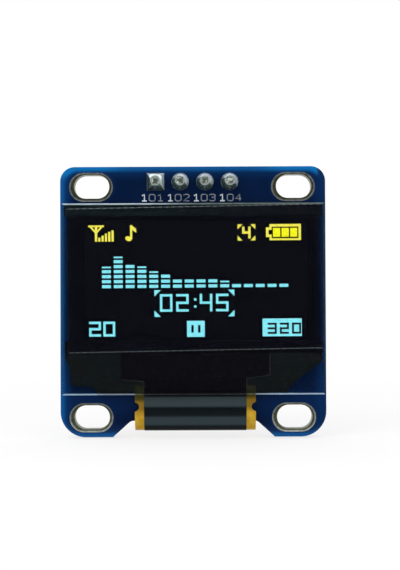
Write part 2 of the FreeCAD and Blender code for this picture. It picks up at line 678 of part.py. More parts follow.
def conductor_film():
    """The printed conductors that narrow from the picture's width down to the ribbon."""
    left = [(PANEL_LEFT + inset, PANEL_BOTTOM + rise) for inset, rise in FILM_LEFT]
    right = [(PANEL_RIGHT - inset, PANEL_BOTTOM + rise) for inset, rise in FILM_RIGHT]
    bottom = PANEL_BOTTOM + GLASS_CHAMFER
    outline = [
        (left[0][0], FILM_TOP), *left, (left[-1][0], bottom),
        (right[-1][0], bottom), *reversed(right), (right[0][0], FILM_TOP),
    ]
    return extruded(outline, GLASS_BACK, FILM_THICKNESS)


def driver_chip():
    return block(CHIP_LENGTH, CHIP_THICKNESS, CHIP_HEIGHT, RIBBON_OFFSET_X, LEDGE_BACK, LEDGE_TOP - CHIP_DROP)


def chip_resin():
    """Black resin over the chip, poured slightly askew between the cap and the ribbon."""
    slant = RESIN_WIDTH / 2 * sin(radians(RESIN_SKEW_DEG))
    middle = RIBBON_TOP + RESIN_GAP + slant
    left, right = RIBBON_OFFSET_X - RESIN_WIDTH / 2, RIBBON_OFFSET_X + RESIN_WIDTH / 2
    outline = [(left, LEDGE_TOP), (right, LEDGE_TOP), (right, middle + slant), (left, middle - slant)]
    return extruded(outline, LEDGE_BACK, CHIP_THICKNESS + RESIN_COVER).cut(driver_chip())


# Ribbon


def ribbon_moves():
    """The ribbon's side view as turns of (radius, from angle, to angle), with angles from straight down.
    It bows forward, falls back in a wide turn and passes under the board's edge in a tight one. The radii
    of the last two follow from the heights and depths where the ribbon has to start, turn and end."""
    bow, fold = radians(BOW_ANGLE), radians(FOLD_ANGLE)
    height = fold_start() - (RIBBON_LOWEST + RIBBON_THICKNESS / 2 + COVERLAY_THICKNESS)
    depth = RIBBON_REAR_MID - RIBBON_FRONT_MID + BOW_RADIUS * (1 - cos(bow))
    share = (1 - sin(fold)) / (1 + cos(fold))
    wide_height = height - BOW_RADIUS * sin(bow) - share * depth
    wide_radius = wide_height / (sin(bow) + sin(fold) - share * (cos(bow) - cos(fold)))
    tight_radius = (depth - wide_radius * (cos(bow) - cos(fold))) / (1 + cos(fold))
    return [
        (BOW_RADIUS, 0, -BOW_ANGLE),
        (wide_radius, -BOW_ANGLE, FOLD_ANGLE),
        (tight_radius, FOLD_ANGLE, 180),
    ]


def turned(y, z, radius, start, end):
    """Where a turn that begins at y and z ends."""
    side = 1 if end > start else -1
    a, b = radians(start), radians(end)
    return y + side * radius * (cos(a) - cos(b)), z - side * radius * (sin(b) - sin(a))


def fold_start():
    """The height at which the ribbon leaves the straight run behind the glass."""
    return PANEL_BOTTOM - BOW_DROP


def side_edges(offset, start_z, end_z, reverse=False):
    """Edges of the ribbon's side view, moved sideways by offset towards the inside of the fold."""
    y, z = RIBBON_FRONT_MID, fold_start()
    edges = [((y + offset, start_z), None, (y + offset, z))]
    for radius, start, end in ribbon_moves():
        middle = (start + end) / 2
        y_mid, z_mid = turned(y, z, radius, start, middle)
        y_end, z_end = turned(y, z, radius, start, end)
        places = []
        for a, py, pz in ((start, y, z), (middle, y_mid, z_mid), (end, y_end, z_end)):
            places.append((py + offset * cos(radians(a)), pz + offset * sin(radians(a))))
        edges.append(tuple(places))
        y, z = y_end, z_end
    edges.append(((y - offset, z), None, (y - offset, end_z)))
    if reverse:
        edges = [(c, b, a) for a, b, c in reversed(edges)]
    return edges


def folded_strip(inner, outer, width, start_z, end_z):
    """A strip bent along the ribbon's fold, between two offsets from its middle."""
    x = RIBBON_OFFSET_X - width / 2
    forward = side_edges(inner, start_z, end_z)
    back = side_edges(outer, start_z, end_z, reverse=True)
    loop = [*forward, (forward[-1][2], None, back[0][0]), *back, (back[-1][2], None, forward[0][0])]
    edges = []
    for a, middle, b in loop:
        start, end = V(x, *a), V(x, *b)
        if middle is None:
            edges.append(Part.LineSegment(start, end).toShape())
        else:
            edges.append(Part.Arc(start, V(x, *middle), end).toShape())
    return Part.Face(Part.Wire(edges)).extrude(V(width, 0, 0))


def bite_tool(side):
    """The rounded bite in one edge of the ribbon, just below the glass, with softened shoulders."""
    edge = RIBBON_OFFSET_X + side * RIBBON_WIDTH / 2
    z = PANEL_BOTTOM - BITE_DROP
    reach = BITE_RADIUS + BITE_SHOULDER
    rise = sqrt(reach ** 2 - BITE_SHOULDER ** 2)
    y = RIBBON_FRONT_MID - BITE_CUT_DEPTH
    depth = 2 * BITE_CUT_DEPTH

    def at(inward, up):
        return V(edge - side * inward, y, z + up)

    def shoulder_arc(up):
        touch = (BITE_SHOULDER * BITE_RADIUS / reach, up * rise * BITE_RADIUS / reach)
        lean = sqrt(0.5) * BITE_SHOULDER
        knee = (BITE_SHOULDER - lean, up * (rise - lean * 0.9))
        return touch, knee

    upper, upper_knee = shoulder_arc(1)
    lower, lower_knee = shoulder_arc(-1)
    edges = [
        Part.Arc(at(0, rise), at(*upper_knee), at(*upper)).toShape(),
        Part.Arc(at(*upper), at(BITE_RADIUS, 0), at(*lower)).toShape(),
        Part.Arc(at(*lower), at(*lower_knee), at(0, -rise)).toShape(),
        Part.LineSegment(at(0, -rise), at(-BITE_RADIUS, -rise)).toShape(),
        Part.LineSegment(at(-BITE_RADIUS, -rise), at(-BITE_RADIUS, rise)).toShape(),
        Part.LineSegment(at(-BITE_RADIUS, rise), at(0, rise)).toShape(),
    ]
    return Part.Face(Part.Wire(edges)).extrude(V(0, depth, 0))


def ribbon_film():
    """The amber base film: a folded neck and a wide tail that lies on the board's back."""
    half = RIBBON_THICKNESS / 2
    neck = folded_strip(half, -half, RIBBON_WIDTH, RIBBON_TOP, TAIL_TOP)
    tail = rounded_block(TAIL_WIDTH, RIBBON_THICKNESS, TAIL_HEIGHT, 0, LAND_THICKNESS,
                         (TAIL_TOP + TAIL_BOTTOM) / 2, TAIL_CORNER_RADIUS)
    film = joined([neck, tail]).cut([bite_tool(-1), bite_tool(1)])
    return film


def ribbon_coverlay():
    """The black cover printed on the outer face of the film, short of its edges."""
    inner = -RIBBON_THICKNESS / 2
    width = RIBBON_WIDTH - 2 * COVERLAY_MARGIN
    strip = folded_strip(inner, inner - COVERLAY_THICKNESS, width, RIBBON_TOP, COVERLAY_END)
    low = TAIL_BOTTOM + TAIL_COVERLAY_MARGIN
    wide = block(TAIL_WIDTH - 2 * TAIL_COVERLAY_MARGIN, COVERLAY_THICKNESS, COVERLAY_END - low,
                 0, RIBBON_BACK, (COVERLAY_END + low) / 2)
    return joined([strip, wide])


def ribbon_contacts():
    """Tinned fingers on the tail, one for each line."""
    z = TAIL_TOP - CONTACT_LENGTH / 2
    fingers = [block(CONTACT_WIDTH, CONTACT_THICKNESS, CONTACT_LENGTH, x, RIBBON_BACK, z) for x in CONTACT_X]
    return Part.makeCompound(fingers)


def contact_solder(x):
    """Solder that runs from the end of one finger over the film's edge to the land beyond it."""
    finger = RIBBON_BACK + CONTACT_THICKNESS
    profile = [
        (finger, TAIL_TOP - CONTACT_SOLDER_LAP), (finger + CONTACT_SOLDER_RISE, TAIL_TOP),
        (LAND_THICKNESS, TAIL_TOP + LAND_OVERHANG), (LAND_THICKNESS, TAIL_TOP), (finger, TAIL_TOP),
    ]
    corners = [V(x - CONTACT_WIDTH / 2, y, z) for y, z in profile]
    return Part.Face(Part.makePolygon(corners + corners[:1])).extrude(V(CONTACT_WIDTH, 0, 0))


def contact_lands():
    """The board's lands under the tail and just above it."""
    height = CONTACT_LENGTH + LAND_OVERHANG
    z = TAIL_TOP + LAND_OVERHANG - height / 2
    return [block(CONTACT_WIDTH, LAND_THICKNESS, height, x, 0, z) for x in CONTACT_X]


# Surface-mounted parts, built round their own middle with the long side along X


def placed(shape, x, z, upright=False):
    """Turns a part upright if asked and sets it on the board's back."""
    if upright:
        shape.rotate(V(0, 0, 0), V(0, 1, 0), 90)
    shape.translate(V(x, 0, z))
    return shape


def part_height(name):
    return CAPACITOR_HEIGHT if name.startswith("capacitor") else RESISTOR_HEIGHT


def chip_body(height):
    """The ceramic middle of a chip part, a little slimmer than its metal ends."""
    length = CHIP_PART_LENGTH - 2 * TERMINAL_LENGTH
    width = CHIP_PART_WIDTH - 2 * TERMINAL_WALL
    return block(length, height - 2 * TERMINAL_WALL, width, 0, LAND_THICKNESS + TERMINAL_WALL, 0)


def chip_terminals(height):
    """The two metal ends, which stand on the lands."""
    centre = (CHIP_PART_LENGTH - TERMINAL_LENGTH) / 2
    return [block(TERMINAL_LENGTH, height, CHIP_PART_WIDTH, side * centre, LAND_THICKNESS, 0)
            for side in (-1, 1)]


def pair_of_lands():
    centre = (LAND_GAP + LAND_LENGTH) / 2
    return [block(LAND_LENGTH, LAND_THICKNESS, LAND_WIDTH, side * centre, 0, 0) for side in (-1, 1)]


def end_fillets(height):
    """Wedges of solder against both ends of a chip part, hollow towards the outside."""
    near, far = CHIP_PART_LENGTH / 2, LAND_GAP / 2 + LAND_LENGTH
    rise, run = height * SOLDER_CLIMB, far - near
    sag_x = near + run / 2 - SOLDER_HOLLOW * rise
    sag_y = LAND_THICKNESS + rise / 2 - SOLDER_HOLLOW * run
    profile = [(near, LAND_THICKNESS), (far, LAND_THICKNESS), (sag_x, sag_y), (near, LAND_THICKNESS + rise)]
    wedges = []
    for side in (-1, 1):
        corners = [V(side * x, y, -CHIP_PART_WIDTH / 2) for x, y in profile]
        face = Part.Face(Part.makePolygon(corners + corners[:1]))
        wedges.append(face.extrude(V(0, 0, CHIP_PART_WIDTH)))
    return wedges


def gull_lead():
    """A flat lead that leaves the regulator level, bends down and ends in a foot on the land."""
    low = LAND_THICKNESS
    high = low + REGULATOR_STANDOFF + (REGULATOR_HEIGHT - LEAD_THICKNESS) / 2
    root, tip = REGULATOR_WIDTH / 2, REGULATOR_WIDTH / 2 + REGULATOR_LEAD_REACH
    ankle = tip - REGULATOR_LEAD_FOOT
    knee = root + (ankle - root) * 0.4
    z = -REGULATOR_LEAD_WIDTH / 2
    shift = LEAD_THICKNESS * 0.7
    points = [
        (root, high), (knee, high), (ankle, low), (tip, low), (tip, low + LEAD_THICKNESS),
        (ankle + shift, low + LEAD_THICKNESS), (knee + shift, high + LEAD_THICKNESS),
        (root, high + LEAD_THICKNESS),
    ]
    corners = [V(x, y, z) for x, y in points]
    return Part.Face(Part.makePolygon(corners + corners[:1])).extrude(V(0, 0, REGULATOR_LEAD_WIDTH))


REGULATOR_PLACES = ((-REGULATOR_LEAD_PITCH, -1), (REGULATOR_LEAD_PITCH, -1), (0, 1))


def regulator_leads():
    """Three leads across the short way: two on the lower side and one on the upper."""
    leads = []
    for along, side in REGULATOR_PLACES:
        lead = gull_lead()
        lead.rotate(V(0, 0, 0), V(0, 1, 0), -90 * side)
        lead.translate(V(along, 0, 0))
        leads.append(lead)
    return leads


def regulator_lands():
    reach = REGULATOR_WIDTH / 2 + REGULATOR_LEAD_REACH - REGULATOR_LEAD_FOOT / 2
    return [block(REGULATOR_LAND_WIDTH, LAND_THICKNESS, LAND_LENGTH, along, 0, side * reach)
            for along, side in REGULATOR_PLACES]


def regulator_body():
    """A moulded package with sloping sides, widest at the middle where the leads come out."""
    low = LAND_THICKNESS + REGULATOR_STANDOFF
    middle, high = low + REGULATOR_HEIGHT / 2, low + REGULATOR_HEIGHT
    rings = []
    for inset, y in ((BODY_DRAFT, low), (0, middle), (BODY_DRAFT, high)):
        half_x, half_z = REGULATOR_LENGTH / 2 - inset, REGULATOR_WIDTH / 2 - inset
        corners = [V(-half_x, y, -half_z), V(half_x, y, -half_z), V(half_x, y, half_z), V(-half_x, y, half_z)]
        rings.append(Part.makePolygon(corners + corners[:1]))
    package = Part.makeLoft(rings, True, True)
    return package.cut(regulator_leads())


def diode_body():
    """A small moulded block with its top edges drawn in."""
    package = block(DIODE_LENGTH, DIODE_HEIGHT, DIODE_WIDTH, 0, LAND_THICKNESS, 0)
    crown = LAND_THICKNESS + DIODE_HEIGHT - 1e-6
    top = [e for e in package.Edges if min(v.Point.y for v in e.Vertexes) > crown]
    return package.makeChamfer(BODY_DRAFT, top)


def diode_leads():
    """Two flat leads at the ends, flush with the underside of the body."""
    centre = (DIODE_LENGTH + DIODE_LEAD_REACH) / 2
    return [block(DIODE_LEAD_REACH, LEAD_THICKNESS, DIODE_LEAD_WIDTH, side * centre, LAND_THICKNESS, 0)
            for side in (-1, 1)]


def back_lands():
    """Every land on the back: the tail's, those of the parts, and one pair left bare."""
    lands = contact_lands()
    for place in CHIP_PARTS.values():
        lands += [placed(land, *place) for land in pair_of_lands()]
    lands += [placed(land, SPARE_LANDS_X, UPPER_ROW_Z) for land in pair_of_lands()]
    lands += [placed(land, DIODE_X, MIDDLE_ROW_Z) for land in pair_of_lands()]
    lands += [placed(land, REGULATOR_X, MIDDLE_ROW_Z) for land in regulator_lands()]
    return Part.makeCompound(lands)


def header_pieces():
    pieces = {"header_housing": header_housing()}
    for index, x in enumerate(PIN_X):
        pieces[f"pin_pad_{index + 1}"] = pin_pad(index)
        pieces[f"header_pin_{index + 1}"] = header_pin(x)
        pieces[f"solder_joint_{index + 1}"] = solder_joint(index)
    return pieces


def panel_pieces():
    return {
        "polarizer": polarizer(),
        "front_glass": front_glass(),
        "yellow_lights": yellow_lights(),
        "blue_lights": blue_lights(),
        "emitter_layer": emitter_layer(),
        "seal_frame": seal_frame(),
        "getter_sheet": getter_sheet(),
        "cap_glass": cap_glass(),
        "foam_tape": foam_tape(),
        "conductor_film": conductor_film(),
        "driver_chip": driver_chip(),
        "chip_resin": chip_resin(),
    }


def ribbon_pieces():
    return {
        "ribbon_film": ribbon_film(),
        "ribbon_coverlay": ribbon_coverlay(),
        "ribbon_contacts": ribbon_contacts(),
        "contact_solder": Part.makeCompound([contact_solder(x) for x in CONTACT_X]),
    }


def mounted_parts():
    """The parts on the back, with the metal ends and the solder of the chip parts each as one group."""
    pieces, terminals, solder = {}, [], []
    for name, place in CHIP_PARTS.items():
        height = part_height(name)
        pieces[name] = placed(chip_body(height), *place)
        terminals += [placed(end, *place) for end in chip_terminals(height)]
        solder += [placed(wedge, *place) for wedge in end_fillets(height)]
    pieces["part_terminals"] = Part.makeCompound(terminals)
    pieces["part_solder"] = Part.makeCompound(solder)
    pieces["regulator_body"] = placed(regulator_body(), REGULATOR_X, MIDDLE_ROW_Z)
    pieces["regulator_leads"] = placed(Part.makeCompound(regulator_leads()), REGULATOR_X, MIDDLE_ROW_Z)
    pieces["diode_body"] = placed(diode_body(), DIODE_X, MIDDLE_ROW_Z)
    pieces["diode_leads"] = placed(Part.makeCompound(diode_leads()), DIODE_X, MIDDLE_ROW_Z)
    return pieces


def all_pieces():
    """Every piece by its name."""
    pieces = {"board": board(), "board_lands": back_lands()}
    for corner, (x, z) in SLOTS.items():
        pieces[f"slot_plating_{corner}"] = slot_plating(x, z)
    return pieces | header_pieces() | panel_pieces() | ribbon_pieces() | mounted_parts()


def main():
    os.makedirs("parts", exist_ok=True)
    for name, shape in all_pieces().items():
        shape.exportStep(f"parts/{name}.step")


main()
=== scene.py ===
from math import cos, pi, radians, sin

import bmesh
import bpy
from mathutils import Matrix, Vector


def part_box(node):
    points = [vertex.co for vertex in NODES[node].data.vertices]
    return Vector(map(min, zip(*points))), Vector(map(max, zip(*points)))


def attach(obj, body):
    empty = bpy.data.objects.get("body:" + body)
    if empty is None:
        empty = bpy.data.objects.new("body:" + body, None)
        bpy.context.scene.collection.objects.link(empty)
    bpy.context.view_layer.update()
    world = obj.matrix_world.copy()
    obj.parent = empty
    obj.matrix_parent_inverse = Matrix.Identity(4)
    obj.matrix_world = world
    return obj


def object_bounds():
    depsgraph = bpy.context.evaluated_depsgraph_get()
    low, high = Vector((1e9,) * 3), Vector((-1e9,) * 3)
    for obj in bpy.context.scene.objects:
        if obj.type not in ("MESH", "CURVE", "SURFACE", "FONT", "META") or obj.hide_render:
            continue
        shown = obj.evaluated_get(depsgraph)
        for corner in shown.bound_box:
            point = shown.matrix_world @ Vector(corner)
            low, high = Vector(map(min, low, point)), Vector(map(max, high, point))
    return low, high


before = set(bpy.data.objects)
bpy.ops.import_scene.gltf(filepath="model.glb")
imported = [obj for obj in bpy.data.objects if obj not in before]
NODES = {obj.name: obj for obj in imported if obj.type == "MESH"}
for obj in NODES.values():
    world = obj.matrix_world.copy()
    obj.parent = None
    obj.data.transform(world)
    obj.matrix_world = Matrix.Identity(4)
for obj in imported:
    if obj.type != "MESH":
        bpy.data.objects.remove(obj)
CAD_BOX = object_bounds()

# The looks of a small self-lit display module, round its fixed frame.
# Places are in metres in the frame: X to the viewer's right, Z up, Y from the screen to the back.
# Lengths that are easier to read in millimetres are written as a number times MM.
# Materials work in millimetres, so the lengths that only they use are plain numbers.
MM = 0.001

# Camera, fitted to the board's edges and slots, for a picture of 400 by 570.
# Its lens and sensor are in millimetres.
CAMERA_AZIMUTH_DEG = 0.12
CAMERA_ELEVATION_DEG = -0.81
CAMERA_ROLL_DEG = -0.23
CAMERA_DISTANCE = 120 * MM
CAMERA_TARGET = Vector((0.72, 0, 1.71)) * MM
CAMERA_LENS = 72.92
CAMERA_SENSOR = 36
CAMERA_NEAREST = 1 * MM
CAMERA_FARTHEST = 10

# Light
WORLD_LEVEL = 0.8
KEY_PLACE = Vector((-60, -90, 110)) * MM
KEY_SIZE = 90 * MM
KEY_WATTS = 0.05
FILL_PLACE = Vector((95, -85, 25)) * MM
FILL_SIZE = 110 * MM
FILL_WATTS = 0.025

# The dim side that gloss sees straight in front, by the Y of a direction from the object
DARK_SIDE_LEVEL = 0.03
DARK_SIDE_FULL = -0.96
DARK_SIDE_END = -0.78

# The floor. Its shadow fades with the distance and its dim strip ends along Y, both in millimetres.
FLOOR_DROP = 0.1 * MM
FLOOR_HALF = 1.5
PAPER_LIFT = 0.12
SHADOW_SHARE = 0.35
SHADOW_NEAR = 25
SHADOW_FAR = 110
FLOOR_DIM_FROM = -14
FLOOR_DIM_TO = -6

# Share of light that each pane keeps back, and the gain of the lit picture behind them
POLARIZER_COVER = 0.2
GLASS_COVER = 0.05
PICTURE_LEVEL = 1.08
LIGHT_GAIN = PICTURE_LEVEL / ((1 - POLARIZER_COVER) * (1 - GLASS_COVER))

# The dot grid of the picture, which is turned a little in the glass. Its blue rows start below a dark gap.
PICTURE_COLUMNS = 128
YELLOW_ROWS = 16
EMITTER_MARGIN = 0.35 * MM
COLOUR_GAP = 0.42 * MM
PICTURE_SKEW_DEG = 0.22

# The blocks of the bars, in rows of dots
BAR_FOOT_ROW = 35
BLOCK_PITCH = 2.96
BLOCK_ROWS = 2.2
BLOCK_EDGE = 0.2

# The lower left and upper right corners of the battery's cells in X and Z, in millimetres
CELLS_LOW = (8.12, 6.48)
CELLS_HIGH = (10.74, 7.54)

# The texts of the picture: the text, its left column and top row, and the width, height, pen and advance
# of its figures, all in dots
TEXTS = {
    "yellow_figure": ("4", 91.2, 1.4, 5, 7, 1.4, 6),
    "clock_figures": ("02:45", 42.2, 38.6, 7.4, 10.4, 1.4, 9.6),
    "left_figures": ("20", 0.2, 54.6, 7, 8.8, 1.4, 8.4),
    "plate_figures": ("320", 105.8, 56, 5.4, 6.6, 1.2, 7.2),
}
TEXT_RISE = 0.004 * MM

# A colon's dots: how far right and how far down they start, and what the colon adds to its pen's width
COLON_INSET = 1
COLON_SHARES = (0.25, 0.65)
COLON_ADVANCE = 3

# The musical note, in dots: the head's middle, half sizes and slant, the stem as a box and the flag's corners
NOTE_HEAD = (23.8, 8)
NOTE_HEAD_HALF = (1.9, 1.5)
NOTE_HEAD_SLANT = 0.4
NOTE_HEAD_STEPS = 12
NOTE_STEM = (24.8, 0, 1.3, 8.2)
NOTE_FLAG = ((25.7, 0), (28.4, 2.2), (28.4, 4.6), (25.7, 2.4))

# What shows through the ledge of the front pane, in millimetres: the ribbon's middle and half widths, the
# edges of the dark resin, the ledge's top, and half the width of the fan of lines where it is narrowest.
# The phase of the lines is counted from the middle to the fan's edge.
RIBBON_X = 0.2
RIBBON_HALF = 6.17
COVER_HALF = 5.24
RESIN_HALF = 7.62
RESIN_LOW = -8.0
LEDGE_TOP = -5.3
FAN_HALF = 8.7
FAN_PHASE = 420

# The ribbon's cover by Z, in millimetres: where each band of painted highlight begins, is full, wanes and
# ends, and where the painted shade at the bottom of the fold is full and where it ends
UPPER_HIGHLIGHT_BAND = (-10.9, -10.55, -9.85, -9.6)
LOWER_HIGHLIGHT_BAND = (-12.8, -12.5, -11.95, -11.55)
FOLD_SHADE = (-13.0, -12.8)

# Faces along Y that materials go by, in millimetres
BOARD_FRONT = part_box("board")[0].y / MM
PIN_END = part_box("header_pin_1")[0].y / MM
PANE_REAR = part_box("front_glass")[1].y / MM
RESISTOR_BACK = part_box("resistor_1")[1].y / MM

# Pitches of fine patterns along X, in millimetres
PIN_PITCH = 2.54
DOT_PITCH = 0.17
RIB_PITCH = 0.35

# Bevels in millimetres, on edges that are sharper than the angle. Corners that lie within the weld's reach,
# in metres, are joined first.
SHARP_EDGE_DEG = 40
WELD_REACH = 1e-6
BEVEL_SEGMENTS = 2
CHIP_BEVEL = 0.05
BEVELS = {
    "header_housing": 0.06,
    "regulator_body": 0.04,
    "diode_body": 0.04,
    "part_terminals": 0.04,
    "chip_resin": 0.12,
    "regulator_leads": 0.02,
}

# Print on the board: the numbers at the pins and the outlines round the parts
LABEL_HEIGHT = 0.67 * MM
LABEL_DROP = 1.65 * MM
LABEL_SHIFT = -0.36 * MM
LABEL_SPREAD = 0.14 * MM
LABEL_PEN = 0.12 * MM
FIRST_PEN = 0.16 * MM
PEN_STRETCH = 1.8
BACK_LABEL_HEIGHT = 1.0 * MM
BACK_LABEL_DROP = 2.1 * MM
PRINT_RISE = 0.02 * MM
OUTLINE_SIDE = 0.28 * MM
OUTLINE_END = 0.62 * MM

# Copper on the back. A trace's drift is the X of its end as a share of the X of its start.
TRACE_WIDTH = 0.3 * MM
CONTACT_REACH = 1.75 * MM
CONTACT_DRIFT = 0.93
MIDDLE_TOP = 0.5 * MM
MIDDLE_DRIFT = 0.96
UPPER_RUN = 2.2 * MM
UPPER_DRIFT = 0.86
PIN_TRACE_DROP = 2.8 * MM
PIN_TRACE_LOW = 7.4 * MM
PIN_DRIFT = 1.35
VIA_RADIUS = 0.34 * MM
VIA_HOLE = 0.15 * MM
VIA_RISE = 0.015 * MM
VIA_STEPS = 16
EDGE_VIAS = ((-11.9, 3.2), (-11.9, -4.6), (11.9, 1.2), (11.9, -4.6), (-8.6, 8.6), (8.2, 8.6), (0, 4.4))


def srgb(red, green, blue):
    """A colour given from 0 to 255, as light."""
    shares = [value / 255 for value in (red, green, blue)]
    return [c / 12.92 if c <= 0.04045 else ((c + 0.055) / 1.055) ** 2.4 for c in shares] + [1.0]


# Node materials written as arithmetic


class Value:
    """A number that a node graph works out at each point of a surface."""

    def __init__(self, graph, socket):
        self.graph = graph
        self.socket = socket

    def maths(self, operation, *others):
        inputs = dict(enumerate((self, *others)))
        return Value(self.graph, self.graph.node("Math", inputs, operation=operation))

    def __add__(self, other):
        return self.maths("ADD", other)

    def __sub__(self, other):
        return self.maths("SUBTRACT", other)

    def __mul__(self, other):
        return self.maths("MULTIPLY", other)

    def __truediv__(self, other):
        return self.maths("DIVIDE", other)

    def __abs__(self):
        return self.maths("ABSOLUTE")

    def least(self, other):
        return self.maths("MINIMUM", other)

    def most(self, other):
        return self.maths("MAXIMUM", other)

    def power(self, other):
        return self.maths("POWER", other)

    def wave(self):
        return self.maths("SINE")

    def between(self, low, high, start=0.0, end=1.0):
        """Goes smoothly from start to end as the number goes from low to high."""
        inputs = {"Value": self, "From Min": low, "From Max": high, "To Min": start, "To Max": end}
        socket = self.graph.node("MapRange", inputs, interpolation_type="SMOOTHSTEP")
        return Value(self.graph, socket)

    def band(self, low, full, waning, high):
        """1 from full to waning, and 0 below low and above high."""
        return self.between(low, full) * self.between(waning, high, 1, 0)


class Graph:
    """A material of nodes on one principled shader. Its lengths are in millimetres."""

    def __init__(self, name):
        self.material = bpy.data.materials.new(name)
        self.material.use_nodes = True
        self.tree = self.material.node_tree
        self.shader = self.tree.nodes["Principled BSDF"]
        coordinates = self.tree.nodes.new("ShaderNodeTexCoord").outputs["Object"]
        self.place = self.node("VectorMath", {0: coordinates, "Scale": 1 / MM}, operation="SCALE")
        self.x, self.y, self.z = self.parts(self.place)

    def node(self, kind, inputs, output=0, **settings):
        made = self.tree.nodes.new("ShaderNode" + kind)
        for name, value in settings.items():
            setattr(made, name, value)
        for name, value in inputs.items():
            self.feed(made.inputs[name], value)
        return made.outputs[output]

    def feed(self, socket, value):
        source = value.socket if isinstance(value, Value) else value
        if isinstance(source, bpy.types.NodeSocket):
            self.tree.links.new(source, socket)
        else:
            socket.default_value = source

    def parts(self, vector):
        made = self.tree.nodes.new("ShaderNodeSeparateXYZ")
        self.tree.links.new(vector, made.inputs[0])
        return [Value(self, socket) for socket in made.outputs]

    def normal(self):
        """The three parts of the surface's own direction."""
        geometry = self.tree.nodes.new("ShaderNodeNewGeometry")
        return self.parts(geometry.outputs["True Normal"])

    def stretched(self, x, y, z):
        """The place, scaled along each axis."""
        inputs = {0: self.place, 1: (x, y, z)}
        return self.node("VectorMath", inputs, operation="MULTIPLY")

    def noise(self, scale, detail=2.0, place=None):
        """Soft noise from 0 to 1, with scale waves to the millimetre."""
        inputs = {"Vector": place or self.place, "Scale": scale, "Detail": detail}
        return Value(self, self.node("TexNoise", inputs))

    def cells(self, scale):
        """The distance to the nearest of many scattered points."""
        return Value(self, self.node("TexVoronoi", {"Vector": self.place, "Scale": scale}))

    def blend(self, share, first, second):
        """The first colour where share is 0, the second where it is 1."""
        return self.node("Mix", {0: share, 6: first, 7: second}, output=2, data_type="RGBA")

    def bump(self, height, depth):
        """Bends the surface as if height, from 0 to 1, were depth millimetres high."""
        normal = self.node("Bump", {"Height": height, "Distance": depth * MM, "Strength": 1.0})
        self.feed(self.shader.inputs["Normal"], normal)

    def set(self, **values):
        """Sets the shader's inputs, named in lower case with underscores."""
        for name, value in values.items():
            names = {socket.name.lower().replace(" ", "_"): socket for socket in self.shader.inputs}
            self.feed(names[name], value)
        return self.material


def rounded_distance(graph, low, high, radius):
    """How far a point lies outside a rounded rectangle in X and Z, below 0 inside it."""
    centre, half = (low + high) / 2 / MM, (high - low) / 2 / MM
    across = abs(graph.x - centre.x) - (half.x - radius)
    along = abs(graph.z - centre.z) - (half.z - radius)
    corner = (across.most(0).power(2) + along.most(0).power(2)).power(0.5)
    return corner + across.most(along).least(0) - radius


def slot_distance(graph, node):
    """How far a point lies outside a slot-shaped node in X and Z, with the slot's long side along X."""
    low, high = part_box(node)
    centre, half = (low + high) / 2 / MM, (high - low) / 2 / MM
    across = (abs(graph.x - centre.x) - (half.x - half.z)).most(0)
    return (across.power(2) + (graph.z - centre.z).power(2)).power(0.5) - half.z


def nearest_slot(graph):
    """The distance to the nearest slot's rim, below 0 inside it."""
    names = [name for name in sorted(NODES) if name.startswith("slot_plating")]
    nearest = slot_distance(graph, names[0])
    for name in names[1:]:
        nearest = nearest.least(slot_distance(graph, name))
    return nearest


def dot_grid():
    """The corners and the middle of the light-emitting film, and the size of a dot on it."""
    low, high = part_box("emitter_layer")
    return low, high, (low + high) / 2, (high.x - low.x - 2 * EMITTER_MARGIN) / PICTURE_COLUMNS


def dot_row(graph):
    """The row of a point on the dot grid, true below the dark gap."""
    _, high, middle, dot = dot_grid()
    turn = radians(PICTURE_SKEW_DEG)
    along = (graph.z - middle.z / MM) * cos(turn) - (graph.x - middle.x / MM) * sin(turn)
    top = (high.z - EMITTER_MARGIN - COLOUR_GAP - middle.z) / MM
    return (along - top) / (-dot / MM)


def solder_mask():
    """Glossy blue mask: deep over the copper, brighter on the bare strip along the edges, partly its own
    colour and partly painted light that comes through the board from behind.
    """
    graph = Graph("solder_mask")
    low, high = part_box("board")
    wander = (graph.noise(1.6) - 0.5) * 0.06
    inward = (rounded_distance(graph, low, high, radius=1.9) + wander) * -1
    # The bare strip is partly its own colour and partly painted light, lit through the board from behind.
    bare_backlit = inward.between(0.12, 0.68, 1, 0)
    ring = (nearest_slot(graph) + wander).between(0.4, 0.1)
    mottle = graph.noise(0.35, 3)
    copper = graph.blend(mottle.between(0.3, 0.7), srgb(3, 24, 58), srgb(6, 29, 66))
    # Painted light: the copper just below the glass pane is lifted, to undo the shade that the pane casts
    # there.
    lowest = graph.z.between(-12.4, -10.4) * graph.z.between(-9.4, -9.2, 0.7, 0)
    copper = graph.blend(lowest, copper, srgb(8, 39, 84))
    # Painted light: the copper brightens towards the edge strip, more at the far left.
    edge_light = inward.between(0.5, 1.5, 0.6, 0) * graph.x.between(-11, -9, 1.5, 0.8)
    copper = graph.blend(edge_light, copper, srgb(4, 48, 98))
    copper = graph.blend(ring * 0.3, copper, srgb(8, 44, 92))
    # Painted light and shade: the edge strip is paler towards the upper corners and darker along the right
    # edge.
    corner = abs(graph.x).between(6, 10) * graph.z.between(12.6, 13.2)
    strip = graph.blend(corner, srgb(10, 84, 148), srgb(6, 108, 178))
    strip = graph.blend(graph.x.between(12.6, 13.1), strip, srgb(10, 42, 84))
    warp = graph.noise(2.2, 1, place=graph.stretched(1, 0, 0))
    weft = graph.noise(2.2, 1, place=graph.stretched(0, 0, 1))
    grain = graph.noise(9, 2)
    graph.bump((warp + weft) * 0.4 + grain * 0.25 + bare_backlit * -1.2, 0.012)
    return graph.set(base_color=graph.blend(bare_backlit, copper, strip), specular_ior_level=0.1,
                     roughness=grain.between(0.2, 0.8, 0.16, 0.28))


